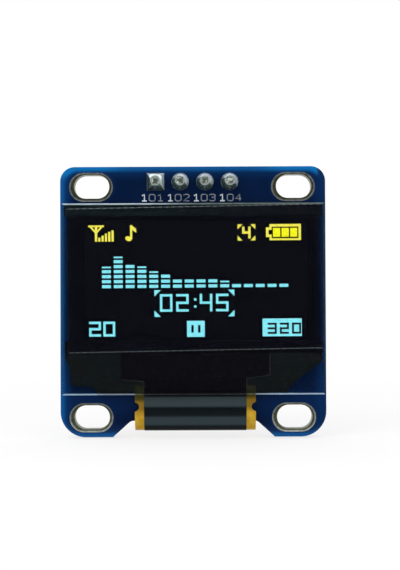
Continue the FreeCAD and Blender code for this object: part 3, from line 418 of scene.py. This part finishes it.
def tinned_metal():
    """Tin over copper, dull and lightly pitted, with painted shade, dark olive, inside the slots and next to
    them.
    """
    graph = Graph("tinned_metal")
    slots = nearest_slot(graph)
    # Painted shade: the plating on the slot walls is tinted dark olive.
    olive = slots.between(-0.2, -0.1, 1, 0)
    grain = graph.noise(14, 3)
    stain = graph.noise(2.5, 2).between(0.35, 0.7)
    graph.bump(grain, 0.01)
    tint = graph.blend(stain, srgb(196, 200, 196), srgb(158, 162, 152))
    tint = graph.blend(olive, tint, graph.blend(stain, srgb(104, 112, 92), srgb(84, 88, 68)))
    return graph.set(base_color=tint, metallic=1.0, roughness=grain.between(0.2, 0.8, 0.28, 0.46))


def bright_solder():
    """Bright solder with slow dents. On the front joints the lower left side is dull and dark, which is
    painted shade, split by a paler streak.
    """
    graph = Graph("bright_solder")
    dents = graph.noise(0.8, 1)
    film = graph.noise(2, 1).between(0.5, 0.7)
    graph.bump(dents, 0.12)
    across, _, up = graph.normal()
    front = graph.y.between(BOARD_FRONT - 0.1, BOARD_FRONT - 0.02, 1, 0)
    # Painted shade: on the front joints the side that faces down and to the left is tinted darker, with a
    # paler streak below each pin's middle.
    lower = (up + across * 0.5).between(-0.3, 0.2, 1, 0) * front
    streak = (graph.x * (2 * pi / PIN_PITCH) - pi / 2).wave().between(0.965, 0.995) * lower
    tint = graph.blend(film, srgb(238, 252, 255), srgb(190, 206, 202))
    tint = graph.blend(lower, tint, srgb(112, 138, 126))
    tint = graph.blend(streak, tint, srgb(176, 188, 184))
    return graph.set(base_color=tint, metallic=lower.between(0, 1, 0.42, 0.76), roughness=film * 0.1 + 0.14)


def pin_plating():
    """Gold-coloured plating, with fine drawing marks along the pin and a patchy grey cut end."""
    graph = Graph("pin_plating")
    marks = graph.noise(6, 2, place=graph.stretched(6, 0.5, 6))
    cut = graph.y.between(PIN_END + 0.1, PIN_END + 0.2, 1, 0)
    patches = graph.noise(2.4, 2).between(0.46, 0.6)
    graph.bump(marks, 0.006)
    tint = graph.blend(marks, srgb(186, 150, 76), srgb(220, 190, 118))
    tint = graph.blend(cut, tint, graph.blend(patches, srgb(96, 108, 98), srgb(224, 232, 220)))
    return graph.set(base_color=tint, metallic=cut.between(0, 1, 1, 0.5),
                     roughness=marks.between(0.2, 0.8, 0.2, 0.36))


def header_plastic():
    """Black moulded plastic with a fine grain."""
    graph = Graph("header_plastic")
    grain = graph.noise(18, 2)
    graph.bump(grain, 0.012)
    tint = graph.blend(graph.noise(1.2, 2), srgb(20, 20, 21), srgb(32, 32, 33))
    return graph.set(base_color=tint, roughness=grain.between(0.2, 0.8, 0.34, 0.5))


def panel_glass():
    """Clear glass whose cut edges are ground dull. The light catches the upper and lower edges most, and this
    is painted into their tints, along with the ribbon's colours on the lower edge.
    """
    graph = Graph("panel_glass")
    _, out, up = graph.normal()
    flat = abs(out).between(0.9, 0.99)
    rear = out.between(0.5, 0.9)
    level = abs(up).between(0.3, 0.6) * graph.y.between(PANE_REAR + 0.01, PANE_REAR + 0.04, 1, 0.15)
    grind = graph.noise(7, 3)
    ground = graph.noise(1.1, 2).between(0.3, 0.7, 0.6, 0.9)
    edge = flat * -1 + 1
    clear = (flat * GLASS_COVER) * (rear * -1 + 1)
    graph.bump(grind * edge, 0.03)
    # Painted light on the edges: pale along the upper and lower edges, varying along X, darker blue on the
    # others, and the ribbon's amber and dark cover painted onto the lower edge where the ribbon lies behind
    # it.
    fade = graph.x.between(-6, 1)
    upper = graph.blend(fade, srgb(196, 214, 222), srgb(104, 118, 110))
    lower = graph.blend(graph.x.between(-9.9, -9.7), srgb(172, 204, 222), srgb(138, 154, 170))
    lower = graph.blend(graph.x.between(6, 9), lower, srgb(176, 200, 226))
    beside = abs(graph.x - RIBBON_X)
    ribbon = beside.between(RIBBON_HALF - 0.1, RIBBON_HALF + 0.05, 1, 0)
    lower = graph.blend(ribbon, lower, srgb(84, 88, 64))
    cover = beside.between(COVER_HALF, COVER_HALF + 0.1, 1, 0)
    lower = graph.blend(cover, lower, srgb(17, 17, 22))
    tint = graph.blend(graph.z.between(-1, 1), lower, upper)
    tint = graph.blend(level, srgb(26, 62, 84), tint)
    tint = graph.blend(flat, tint, srgb(20, 28, 34))
    return graph.set(base_color=tint, roughness=flat.between(0, 1, 0.5, 0.05), specular_ior_level=0.3,
                     alpha=edge * ground * level.between(0, 1, 0.35, 1) + clear)


def polarizer_film():
    """Dark film with pale cut edges, open at its rear face so that its cover counts once. Only the upper and
    lower cut edges are pale, which is painted light.
    """
    graph = Graph("polarizer_film")
    _, out, up = graph.normal()
    rear = out.between(0.5, 0.9)
    cut = abs(out).between(0.97, 0.9)
    # Painted light: the pale tint is kept to the upper and lower cut edges, in dashes.
    level = cut * abs(up).between(0.2, 0.6)
    notches = (graph.x * 9).wave().between(-0.3, 0.5, 0.55, 1)
    dust = graph.noise(3, 4).between(0.66, 0.8)
    tint = graph.blend(dust, srgb(19, 19, 31), srgb(26, 27, 38))
    tint = graph.blend(level * notches, tint, srgb(98, 108, 110))
    return graph.set(base_color=tint, roughness=dust * 0.1 + 0.09, specular_ior_level=0.25,
                     alpha=(rear * -1 + 1) * (level * 0.6 + POLARIZER_COVER))


def glowing(graph, tint):
    """A dark film that gives off light of that tint."""
    return graph.set(base_color=srgb(10, 10, 12), roughness=0.4, emission_color=tint,
                     emission_strength=LIGHT_GAIN)


def yellow_light():
    """Lit yellow dots, strongest in the battery's cells, which have dim borders."""
    graph = Graph("yellow_light")
    glow = graph.noise(1.4, 2).between(0.2, 0.8)
    tint = graph.blend(glow, srgb(248, 238, 74), srgb(253, 246, 98))
    (left, bottom), (right, top) = CELLS_LOW, CELLS_HIGH
    across = abs(graph.x - (left + right) / 2) - (right - left) / 2
    outside = across.most(abs(graph.z - (bottom + top) / 2) - (top - bottom) / 2)
    tint = graph.blend(outside.between(-0.02, 0.02, 1, 0), tint, srgb(254, 252, 16))
    tint = graph.blend(abs(outside).between(0.04, 0.09, 1, 0), tint, srgb(96, 88, 0))
    return glowing(graph, tint)


def blue_light():
    """Lit blue dots, dim along the upper and lower edge of each block of the bars."""
    graph = Graph("blue_light")
    glow = graph.noise(1.4, 2).between(0.2, 0.8)
    tint = graph.blend(glow, srgb(126, 234, 248), srgb(146, 244, 255))
    up = (dot_row(graph) - BAR_FOOT_ROW) / -BLOCK_PITCH
    rows = abs(up.maths("FRACT") * BLOCK_PITCH - BLOCK_ROWS / 2)
    edge = BLOCK_ROWS / 2 - BLOCK_EDGE
    dim = rows.between(edge - 0.08, edge + 0.08) * up.between(-0.1, -0.05)
    return glowing(graph, graph.blend(dim, tint, srgb(4, 44, 70)))


def emitter_black():
    """The unlit film, black with a faint sheen of its dot columns."""
    graph = Graph("emitter_black")
    columns = (graph.x * (2 * pi / DOT_PITCH)).wave().between(-1, 1)
    tint = graph.blend(columns, srgb(2, 2, 2), srgb(5, 4, 5))
    return graph.set(base_color=tint, roughness=0.5, specular_ior_level=0.05)


def seal_glue():
    """Clear glue with small bubbles, olive and cloudy along the upper edge."""
    graph = Graph("seal_glue")
    bubbles = graph.cells(1.8).between(0.06, 0.14, 1, 0)
    cloudy = graph.z.between(8.4, 9.2)
    tint = graph.blend(graph.x.between(-4, 10), srgb(20, 34, 34), srgb(16, 24, 27))
    tint = graph.blend(bubbles * (cloudy * -1 + 1), tint, srgb(60, 70, 76))
    return graph.set(base_color=tint, roughness=0.4, specular_ior_level=0.05,
                     alpha=bubbles * 0.1 + cloudy * 0.85 + 0.05)


def getter_white():
    """White drying sheet, slightly rough."""
    graph = Graph("getter_white")
    grain = graph.noise(6, 3)
    graph.bump(grain, 0.02)
    tint = graph.blend(grain, srgb(216, 216, 210), srgb(236, 236, 232))
    return graph.set(base_color=tint, roughness=0.8)


def foam():
    """Black closed-cell foam."""
    graph = Graph("foam")
    pores = graph.cells(7).between(0.1, 0.6)
    graph.bump(pores, 0.05)
    tint = graph.blend(pores, srgb(34, 33, 40), srgb(46, 45, 52))
    return graph.set(base_color=tint, roughness=0.85, specular_ior_level=0.1)


def printed_conductors():
    """Olive film of fine lines that fan in towards the ribbon, with the resin's outline seen through it, and
    painted shade above the ledge.
    """
    graph = Graph("printed_conductors")
    low, high = (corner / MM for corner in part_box("conductor_film"))
    drop = (graph.z - low.z) / (high.z - low.z)
    spread = drop.between(0, 1, FAN_HALF, high.x)
    lines = (graph.x / spread * FAN_PHASE).wave().between(-0.2, 0.8)
    patches = graph.noise(0.5, 2).between(0.35, 0.65)
    tint = graph.blend(patches, srgb(14, 22, 24), srgb(20, 23, 24))
    tint = graph.blend(lines * 0.4, tint, srgb(26, 32, 30))
    beside = abs(graph.x - RIBBON_X)
    lowest = (graph.x - RIBBON_X) * 0.027 + (beside - COVER_HALF).most(0) * 0.11 + RESIN_LOW
    arms = (beside - RESIN_HALF).most(lowest - graph.z)
    outside = arms.least(beside - COVER_HALF)
    below = graph.z.between(LEDGE_TOP, LEDGE_TOP + 0.05, 1, 0)
    olive = beside.between(RIBBON_HALF - 0.1, RIBBON_HALF + 0.1, 1, 0) * graph.z.between(-8.9, -8.2, 1, 0)
    tint = graph.blend(olive, tint, srgb(38, 41, 24))
    tint = graph.blend(outside.between(-0.05, 0.05, 1, 0) * below, tint, srgb(13, 12, 17))
    rim = abs(outside).between(0.03, 0.1, 0.45, 0) * graph.x.between(-7.35, -7.2)
    tint = graph.blend(rim * below, tint, srgb(44, 43, 46))
    # Painted shade: above the ledge's top, under the polarizer, the film is nearly black.
    tint = graph.blend(below, srgb(8, 9, 15), tint)
    return graph.set(base_color=tint, roughness=0.35, specular_ior_level=0.05, alpha=0.95)


def silicon():
    """Bare silicon, a little metallic."""
    graph = Graph("silicon")
    grain = graph.noise(5, 2)
    tint = graph.blend(grain, srgb(52, 54, 62), srgb(78, 80, 88))
    return graph.set(base_color=tint, metallic=0.4, roughness=0.25)


def black_resin():
    """Poured resin, matt with slow ripples."""
    graph = Graph("black_resin")
    ripple = graph.noise(1.2, 3)
    graph.bump(ripple, 0.05)
    tint = graph.blend(ripple, srgb(8, 9, 11), srgb(16, 17, 20))
    return graph.set(base_color=tint, roughness=0.5)


def amber_film():
    """Amber film with painted shade where it comes out from under the glass, olive at the top and brown
    below, a little lower on the left.
    """
    graph = Graph("amber_film")
    cloud = graph.noise(1.1, 3).between(0.3, 0.7)
    front = graph.y.between(BOARD_FRONT - 0.1, BOARD_FRONT + 0.1, 1, 0)
    # Painted shade: the film in front of the board darkens to olive just under the glass and to brown below
    # that.
    height = graph.z - graph.x.between(-1, 1, 0, 0.3)
    shaded_top = height.between(-10.4, -9.9) * front
    shaded_band = height.between(-11.7, -10.9) * front
    tint = graph.blend(cloud, srgb(186, 144, 30), srgb(210, 170, 50))
    tint = graph.blend(shaded_band * 0.8, tint, srgb(116, 86, 18))
    tint = graph.blend(shaded_top, tint, srgb(78, 69, 22))
    sheen = graph.noise(8, 2)
    graph.bump(sheen, 0.006)
    return graph.set(base_color=tint, roughness=sheen.between(0.2, 0.8, 0.2, 0.32), specular_ior_level=0.15)


def ribbon_cover():
    """Dark cover, faintly ribbed by the conductors beneath it, with two paler bands of painted highlight
    across the fold and painted shade at its bottom.
    """
    graph = Graph("ribbon_cover")
    ribs = (graph.x * (2 * pi / RIB_PITCH)).wave().between(-1, 1)
    scuff = graph.noise(1.6, 4, place=graph.stretched(1, 3, 3))
    graph.bump(ribs * 0.25 + scuff, 0.012)
    tint = graph.blend(scuff.between(0.3, 0.7), srgb(9, 17, 21), srgb(13, 21, 25))
    # Painted highlights: two paler bands across the fold.
    tint = graph.blend(graph.z.band(*UPPER_HIGHLIGHT_BAND), tint, srgb(56, 68, 72))
    tint = graph.blend(graph.z.band(*LOWER_HIGHLIGHT_BAND), tint, srgb(49, 62, 68))
    # Painted shade: the bottom of the fold, which faces down, is darkened.
    shaded_fold = graph.z.between(*FOLD_SHADE, 1, 0)
    tint = graph.blend(shaded_fold, tint, srgb(4, 8, 9))
    return graph.set(base_color=tint, roughness=scuff.between(0.2, 0.8, 0.3, 0.42),
                     specular_ior_level=shaded_fold.between(0, 1, 0.08, 0.05))


def capacitor_ceramic():
    """Tan ceramic with fine specks."""
    graph = Graph("capacitor_ceramic")
    speck = graph.noise(9, 3)
    graph.bump(speck, 0.01)
    tint = graph.blend(speck, srgb(150, 112, 74), srgb(186, 148, 104))
    return graph.set(base_color=tint, roughness=0.42)


def resistor_glaze():
    """Pale ceramic, with a black glaze on the face away from the board."""
    graph = Graph("resistor_glaze")
    top = graph.y.between(RESISTOR_BACK - 0.065, RESISTOR_BACK - 0.005)
    grain = graph.noise(8, 2)
    tint = graph.blend(top, srgb(196, 192, 184), srgb(20, 20, 22))
    graph.bump(grain, 0.008)
    return graph.set(base_color=tint, roughness=grain.between(0.2, 0.8, 0.26, 0.4))


def package_black():
    """Moulding compound: matt, with a fine even grain."""
    graph = Graph("package_black")
    grain = graph.noise(24, 2)
    graph.bump(grain, 0.012)
    tint = graph.blend(graph.noise(3, 2), srgb(30, 30, 31), srgb(42, 42, 43))
    return graph.set(base_color=tint, roughness=0.55)


def printed_white(name, dim, full):
    """Screen-printed ink, a little worn."""
    graph = Graph(name)
    wear = graph.noise(6, 3).between(0.3, 0.62)
    tint = graph.blend(wear, dim, full)
    return graph.set(base_color=tint, roughness=0.55)


def dark_dots():
    """Nearly black, for the unlit dots of a number and, as painted shade, for small holes."""
    graph = Graph("dark_dots")
    tint = graph.blend(graph.noise(2, 1), srgb(6, 8, 10), srgb(12, 14, 18))
    return graph.set(base_color=tint, roughness=0.5)


FINISHES = {
    "board_laminate": solder_mask(),
    "tinned_metal": tinned_metal(),
    "solder": bright_solder(),
    "pin_metal": pin_plating(),
    "header_plastic": header_plastic(),
    "panel_glass": panel_glass(),
    "polarizer_film": polarizer_film(),
    "yellow_light": yellow_light(),
    "blue_light": blue_light(),
    "emitter": emitter_black(),
    "seal_glue": seal_glue(),
    "getter": getter_white(),
    "foam": foam(),
    "conductors": printed_conductors(),
    "silicon": silicon(),
    "resin": black_resin(),
    "ribbon_amber": amber_film(),
    "ribbon_cover": ribbon_cover(),
    "capacitor_ceramic": capacitor_ceramic(),
    "resistor_ceramic": resistor_glaze(),
    "package_black": package_black(),
}


def dress_nodes():
    """Gives every node the finish of its slot, which it carries as the name of its first material."""
    for node in NODES.values():
        slot = node.data.materials[0].name.split(".")[0]
        node.data.materials.clear()
        node.data.materials.append(FINISHES[slot])


def soften(node, width):
    """Rounds the sharp edges of a node by a bevel of that many millimetres."""
    weld = NODES[node].modifiers.new("weld", "WELD")
    weld.merge_threshold = WELD_REACH
    bevel = NODES[node].modifiers.new("bevel", "BEVEL")
    bevel.width = width * MM
    bevel.segments = BEVEL_SEGMENTS
    bevel.limit_method = "ANGLE"
    bevel.angle_limit = radians(SHARP_EDGE_DEG)
    NODES[node].modifiers.new("normals", "WEIGHTED_NORMAL")


def soften_nodes():
    """Bevels the chip parts on the back and the nodes that BEVELS names."""
    for name in NODES:
        if name.startswith(("capacitor", "resistor")):
            soften(name, CHIP_BEVEL)
    for name, width in BEVELS.items():
        soften(name, width)


# Pieces that are laid on the frame


def add_piece(name, mesh, material):
    """A mesh in the frame's own places, which rides on the only body. Its slot may be None."""
    piece = bpy.data.objects.new(name, mesh)
    bpy.context.scene.collection.objects.link(piece)
    mesh.materials.clear()
    mesh.materials.append(material)
    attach(piece, "root")
    return piece


def raised_lines(name, lines, width, plane, rise, material):
    """Lines with a rounded top, given as lists of (x, z) and laid on the plane at that Y.
    Rise is how far they stand out, and its sign says to which side. They have no slot."""
    curve = bpy.data.curves.new(name, "CURVE")
    curve.dimensions = "3D"
    curve.bevel_depth = width / 2
    curve.bevel_resolution = 1
    curve.use_fill_caps = True
    for points in lines:
        closed = points[0] == points[-1]
        kept = points[:-1] if closed else points
        spline = curve.splines.new("POLY")
        spline.points.add(len(kept) - 1)
        for point, (x, z) in zip(spline.points, kept):
            point.co = (x, 0, z, 1)
        spline.use_cyclic_u = closed
    drawn = bpy.data.objects.new(name, curve)
    mesh = bpy.data.meshes.new_from_object(drawn)
    bpy.data.objects.remove(drawn)
    share = 2 * abs(rise) / width
    mesh.transform(Matrix.Translation((0, plane, 0)) @ Matrix.Diagonal((1, share, 1, 1)))
    return add_piece(name, mesh, material)


def plates(name, outlines, front, back, material):
    """Flat plates with straight sides, each from an outline of (x, z) corners."""
    shape = bmesh.new()
    for outline in outlines:
        face = shape.faces.new([shape.verts.new((x, front, z)) for x, z in outline])
        made = bmesh.ops.extrude_face_region(shape, geom=[face])["geom"]
        bmesh.ops.translate(shape, vec=(0, back - front, 0),
                            verts=[v for v in made if isinstance(v, bmesh.types.BMVert)])
    bmesh.ops.recalc_face_normals(shape, faces=shape.faces)
    mesh = bpy.data.meshes.new(name)
    shape.to_mesh(mesh)
    shape.free()
    return add_piece(name, mesh, material)


# Numbers drawn with one pen, on a grid whose units are stretched sideways

PEN_GRID_WIDE = 2
PEN_GRID_HIGH = 4
PEN_ADVANCE = 2.75
PEN_NUMBERS = {
    "0": [[(0.5, 0), (1.5, 0), (2, 0.6), (2, 3.4), (1.5, 4), (0.5, 4), (0, 3.4), (0, 0.6), (0.5, 0)]],
    "1": [[(0.3, 3.2), (1.1, 4), (1.1, 0)], [(0.3, 0), (1.9, 0)]],
    "2": [[(0, 3.4), (0.5, 4), (1.5, 4), (2, 3.4), (2, 2.6), (0, 0), (2, 0)]],
    "3": [[(0, 3.5), (0.5, 4), (1.5, 4), (2, 3.4), (2, 2.7), (1.5, 2.1), (0.8, 2.1)],
          [(1.5, 2.1), (2, 1.5), (2, 0.6), (1.5, 0), (0.5, 0), (0, 0.5)]],
    "4": [[(1.5, 0), (1.5, 4), (0, 1.3), (2, 1.3)]],
}


def pen_lines(text, centre_x, centre_z, height, facing):
    """The lines of a number that is read along +X if facing is 1, or from behind if it is -1."""
    unit = height / PEN_GRID_HIGH
    wide = unit * PEN_STRETCH
    advance = PEN_ADVANCE * wide
    start = -((len(text) - 1) * advance + PEN_GRID_WIDE * wide) / 2
    lines = []
    for index, figure in enumerate(text):
        for stroke in PEN_NUMBERS[figure]:
            lines.append([
                (centre_x + facing * (start + index * advance + u * wide),
                 centre_z + (v - PEN_GRID_HIGH / 2) * unit)
                for u, v in stroke
            ])
    return lines


def pin_numbers():
    """A number below each pin, on both sides of the board. In front, the first figure is the brightest."""
    face, rear = (corner.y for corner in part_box("board"))
    ink = printed_white("printed_white", srgb(190, 198, 206), srgb(226, 232, 238))
    worn = printed_white("worn_white", srgb(104, 112, 118), srgb(158, 164, 170))
    for index in range(1, 5):
        low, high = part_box(f"header_pin_{index}")
        x, z = (low.x + high.x) / 2, (low.z + high.z) / 2
        shifted = x + LABEL_SHIFT + (index - 1) * LABEL_SPREAD
        front = pen_lines(f"10{index}", shifted, z - LABEL_DROP, LABEL_HEIGHT, 1)
        first = len(PEN_NUMBERS["1"])
        raised_lines(f"front_number_{index}", front[first:], LABEL_PEN, face, -PRINT_RISE, worn)
        raised_lines(f"front_first_{index}", front[:first], FIRST_PEN, face, -PRINT_RISE, ink)
        back = pen_lines(f"{index}", x, z - BACK_LABEL_DROP, BACK_LABEL_HEIGHT, -1)
        raised_lines(f"back_number_{index}", back, LABEL_PEN, rear, PRINT_RISE, ink)


# Plain numbers in the picture, on its dot grid, made of the seven bars that segment_boxes names

SEGMENTS = {"0": "abcdef", "2": "abged", "3": "abgcd", "4": "fgbc", "5": "afgcd"}


def segment_boxes(figure, width, height, pen):
    """The bars of a number as (column, row, columns, rows) from its upper left corner."""
    middle = (height - pen) / 2
    bars = {
        "a": (0, 0, width, pen),
        "b": (width - pen, 0, pen, middle + pen),
        "c": (width - pen, middle, pen, height - middle),
        "d": (0, height - pen, width, pen),
        "e": (0, middle, pen, height - middle),
        "f": (0, 0, pen, middle + pen),
        "g": (0, middle, width, pen),
    }
    return [bars[name] for name in SEGMENTS[figure]]


def dot_place(column, row):
    """The place in X and Z of a point of the dot grid. The blue rows start below the dark gap."""
    low, high, middle, dot = dot_grid()
    gap = COLOUR_GAP if row > YELLOW_ROWS else 0
    across = low.x + EMITTER_MARGIN + column * dot - middle.x
    along = high.z - EMITTER_MARGIN - row * dot - gap - middle.z
    c, s = cos(radians(PICTURE_SKEW_DEG)), sin(radians(PICTURE_SKEW_DEG))
    return middle.x + across * c - along * s, middle.z + along * c + across * s


def dot_box(column, row, columns, rows):
    """The corners of a box on the dot grid, from its left column and top row."""
    corners = ((0, rows), (columns, rows), (columns, 0), (0, 0))
    return [dot_place(column + right, row + down) for right, down in corners]


def figures(text, column, row, width, height, pen, advance):
    """Outlines of the bars of a text's figures, with its sizes in dots. A colon is two dots."""
    outlines = []
    for figure in text:
        if figure == ":":
            left = column + COLON_INSET
            outlines += [dot_box(left, row + height * share, pen, pen) for share in COLON_SHARES]
            column += pen + COLON_ADVANCE
            continue
        for left, top, columns, rows in segment_boxes(figure, width, height, pen):
            outlines.append(dot_box(column + left, row + top, columns, rows))
        column += advance
    return outlines


def note_outlines():
    """A musical note: a slanted head, a stem and a flag."""
    (column, row), (wide, high) = NOTE_HEAD, NOTE_HEAD_HALF
    head = []
    for step in range(NOTE_HEAD_STEPS):
        c, s = cos(2 * pi * step / NOTE_HEAD_STEPS), sin(2 * pi * step / NOTE_HEAD_STEPS)
        head.append(dot_place(column + wide * c + NOTE_HEAD_SLANT * s, row + high * s))
    return [head, dot_box(*NOTE_STEM), [dot_place(*corner) for corner in NOTE_FLAG]]


def picture():
    """The note and the texts, level with the lit bars, apart from the dark text on its lit plate."""
    low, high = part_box("blue_lights")
    plates("note", note_outlines(), low.y, high.y, FINISHES["yellow_light"])
    for name, slot in (("yellow_figure", "yellow_light"), ("clock_figures", "blue_light"),
                       ("left_figures", "blue_light")):
        plates(name, figures(*TEXTS[name]), low.y, high.y, FINISHES[slot])
    dark = figures(*TEXTS["plate_figures"])
    plates("plate_figures", dark, low.y - TEXT_RISE, low.y, dark_dots())


# Copper and print on the back of the board


def jogged(x, z, x_end, z_end):
    """A trace that leaves (x, z) along Z, crosses over at 45 degrees and goes on to its end along Z."""
    way = 1 if z_end > z else -1
    slant = way * abs(x_end - x)
    turn = (z + z_end - slant) / 2
    return [(x, z), (x, turn), (x_end, turn + slant), (x_end, z_end)]


def masked_copper():
    """Traces that show through the mask, a little paler than the mask round them."""
    graph = Graph("masked_copper")
    grain = graph.noise(9, 2)
    tint = graph.blend(graph.noise(1.1, 2), srgb(8, 48, 104), srgb(12, 58, 118))
    return graph.set(base_color=tint, roughness=grain.between(0.2, 0.8, 0.16, 0.28), specular_ior_level=0.2)


def back_traces():
    """Traces from the parts to the ribbon's lands and to the pins, and small plated holes, whose holes are
    dark discs of painted shade.
    """
    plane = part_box("board")[1].y
    lines = []
    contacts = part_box("board_lands")[0].z + CONTACT_REACH
    for name in sorted(NODES):
        if name.startswith(("capacitor", "resistor")):
            low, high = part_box(name)
            middle = (low.x + high.x) / 2
            if high.z < 0:
                lines.append(jogged(middle, low.z, middle * CONTACT_DRIFT, contacts))
                lines.append(jogged(middle, high.z, middle * MIDDLE_DRIFT, MIDDLE_TOP))
            else:
                lines.append(jogged(middle, high.z, middle * UPPER_DRIFT, high.z + UPPER_RUN))
    for index in range(1, 5):
        low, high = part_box(f"header_pin_{index}")
        middle = (low.x + high.x) / 2
        lines.append(jogged(middle, low.z - PIN_TRACE_DROP, middle * PIN_DRIFT, PIN_TRACE_LOW))
    raised_lines("back_traces", lines, TRACE_WIDTH, plane, PRINT_RISE / 2, masked_copper())
    rings = []
    holes = []
    ends = [line[-1] for line in lines if line[-1][1] > contacts]
    for x, z in ends + [(x * MM, z * MM) for x, z in EDGE_VIAS]:
        for outlines, radius in ((rings, VIA_RADIUS), (holes, VIA_HOLE)):
            turns = [2 * pi * step / VIA_STEPS for step in range(VIA_STEPS)]
            outlines.append([(x + radius * cos(turn), z + radius * sin(turn)) for turn in turns])
    face = plane + VIA_RISE
    plates("via_rings", rings, plane, face, FINISHES["tinned_metal"])
    # Painted shade: each hole is a dark disc on the board, not an opening.
    plates("via_holes", holes, face, plane + PRINT_RISE, dark_dots())


def back_print():
    """Outlines round the parts, as screen print."""
    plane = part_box("board")[1].y
    lines = []
    for name in sorted(NODES):
        if name.startswith(("capacitor", "resistor", "regulator_body", "diode_body")):
            low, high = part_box(name)
            left, right = low.x - OUTLINE_SIDE, high.x + OUTLINE_SIDE
            bottom, top = low.z - OUTLINE_END, high.z + OUTLINE_END
            lines.append([(left, bottom), (right, bottom), (right, top), (left, top), (left, bottom)])
    ink = printed_white("outline_white", srgb(150, 158, 166), srgb(206, 212, 220))
    raised_lines("part_outlines", lines, LABEL_PEN, plane, PRINT_RISE, ink)


# Surroundings


def look_at(item, place, target):
    """Puts a lamp at the place, turned to the target."""
    item.location = place
    item.rotation_mode = "QUATERNION"
    item.rotation_quaternion = (target - place).to_track_quat("-Z", "Y")


def add_lamp(name, place, size, watts):
    """A square lamp that shines on the origin."""
    lamp = bpy.data.lights.new(name, "AREA")
    lamp.shape = "SQUARE"
    lamp.size = size
    lamp.energy = watts
    item = bpy.data.objects.new(name, lamp)
    bpy.context.scene.collection.objects.link(item)
    look_at(item, place, Vector((0, 0, 0)))


def add_world():
    """White all round for the camera. Gloss sees it too, apart from the dim side that the camera is on."""
    world = bpy.data.worlds.new("studio")
    bpy.context.scene.world = world
    world.use_nodes = True
    nodes, links = world.node_tree.nodes, world.node_tree.links
    background = nodes["Background"]
    direction = nodes.new("ShaderNodeSeparateXYZ")
    links.new(nodes.new("ShaderNodeTexCoord").outputs["Generated"], direction.inputs[0])
    side = nodes.new("ShaderNodeMapRange")
    side.interpolation_type = "SMOOTHSTEP"
    limits = {"From Min": DARK_SIDE_FULL, "From Max": DARK_SIDE_END, "To Min": DARK_SIDE_LEVEL, "To Max": 1.0}
    for name, value in limits.items():
        side.inputs[name].default_value = value
    links.new(direction.outputs["Y"], side.inputs["Value"])
    ray = nodes.new("ShaderNodeLightPath")

    def level(share, low, high):
        """A strength between two others, each a number or a socket."""
        made = nodes.new("ShaderNodeMix")
        links.new(share, made.inputs[0])
        for socket, value in ((made.inputs[2], low), (made.inputs[3], high)):
            if isinstance(value, float):
                socket.default_value = value
            else:
                links.new(value, socket)
        return made.outputs[0]

    strength = level(ray.outputs["Is Glossy Ray"], WORLD_LEVEL, side.outputs[0])
    strength = level(ray.outputs["Is Transmission Ray"], strength, 1.0)
    strength = level(ray.outputs["Is Camera Ray"], strength, 1.0)
    background.inputs["Color"].default_value = (1, 1, 1, 1)
    links.new(strength, background.inputs["Strength"])


def add_floor():
    """A plain white floor that keeps the shadow near the object and fades into the white beyond."""
    level = CAD_BOX[0].z - FLOOR_DROP
    shape = bmesh.new()
    bmesh.ops.create_grid(shape, x_segments=8, y_segments=8, size=FLOOR_HALF)
    bmesh.ops.translate(shape, vec=(0, 0, level), verts=shape.verts)
    mesh = bpy.data.meshes.new("floor")
    shape.to_mesh(mesh)
    shape.free()
    floor = bpy.data.objects.new("floor", mesh)
    bpy.context.scene.collection.objects.link(floor)
    graph = Graph("floor")
    graph.tree.nodes.remove(graph.shader)
    output = graph.tree.nodes["Material Output"]
    paper = graph.node("BsdfDiffuse", {"Color": srgb(248, 248, 248)})
    white = graph.node("Emission", {"Color": (1, 1, 1, 1), "Strength": 1.0})
    lift = graph.node("Emission", {"Color": (1, 1, 1, 1), "Strength": PAPER_LIFT})
    lifted = graph.node("AddShader", {0: paper, 1: lift})
    distance = (graph.x.power(2) + graph.y.power(2)).power(0.5)
    share = distance.between(SHADOW_NEAR, SHADOW_FAR, SHADOW_SHARE, 0)
    seen = graph.node("MixShader", {0: share, 1: white, 2: lifted})
    ahead = graph.y.between(FLOOR_DIM_FROM, FLOOR_DIM_TO, DARK_SIDE_LEVEL, 1)
    mirrored = graph.node("Emission", {"Color": (1, 1, 1, 1), "Strength": ahead})
    ray = graph.tree.nodes.new("ShaderNodeLightPath")
    plain, gloss, through = (Value(graph, ray.outputs[kind]) for kind in
                             ("Is Camera Ray", "Is Glossy Ray", "Is Transmission Ray"))
    shown = graph.node("MixShader", {0: plain.most(through), 1: paper, 2: seen})
    graph.feed(output.inputs["Surface"], graph.node("MixShader", {0: gloss, 1: shown, 2: mirrored}))
    mesh.materials.append(graph.material)


def add_camera():
    """The photo's own view."""
    data = bpy.data.cameras.new("camera")
    camera = bpy.data.objects.new("camera", data)
    bpy.context.scene.collection.objects.link(camera)
    data.lens = CAMERA_LENS
    data.sensor_width = CAMERA_SENSOR
    data.clip_start = CAMERA_NEAREST
    data.clip_end = CAMERA_FARTHEST
    a, e, roll = (radians(value) for value in (CAMERA_AZIMUTH_DEG, CAMERA_ELEVATION_DEG, CAMERA_ROLL_DEG))
    back = Vector((sin(a) * cos(e), -cos(a) * cos(e), sin(e)))
    level_right = (-back).cross(Vector((0, 0, 1))).normalized()
    level_up = level_right.cross(-back)
    right = level_right * cos(roll) + level_up * sin(roll)
    up = level_up * cos(roll) - level_right * sin(roll)
    turn = Matrix((right, up, back)).transposed()
    camera.matrix_world = Matrix.Translation(CAMERA_TARGET + back * CAMERA_DISTANCE) @ turn.to_4x4()
    bpy.context.scene.camera = camera


dress_nodes()
soften_nodes()
pin_numbers()
picture()
back_traces()
back_print()
add_world()
add_lamp("key", KEY_PLACE, KEY_SIZE, KEY_WATTS)
add_lamp("fill", FILL_PLACE, FILL_SIZE, FILL_WATTS)
add_floor()
add_camera()
bpy.context.scene.view_settings.view_transform = "Standard"
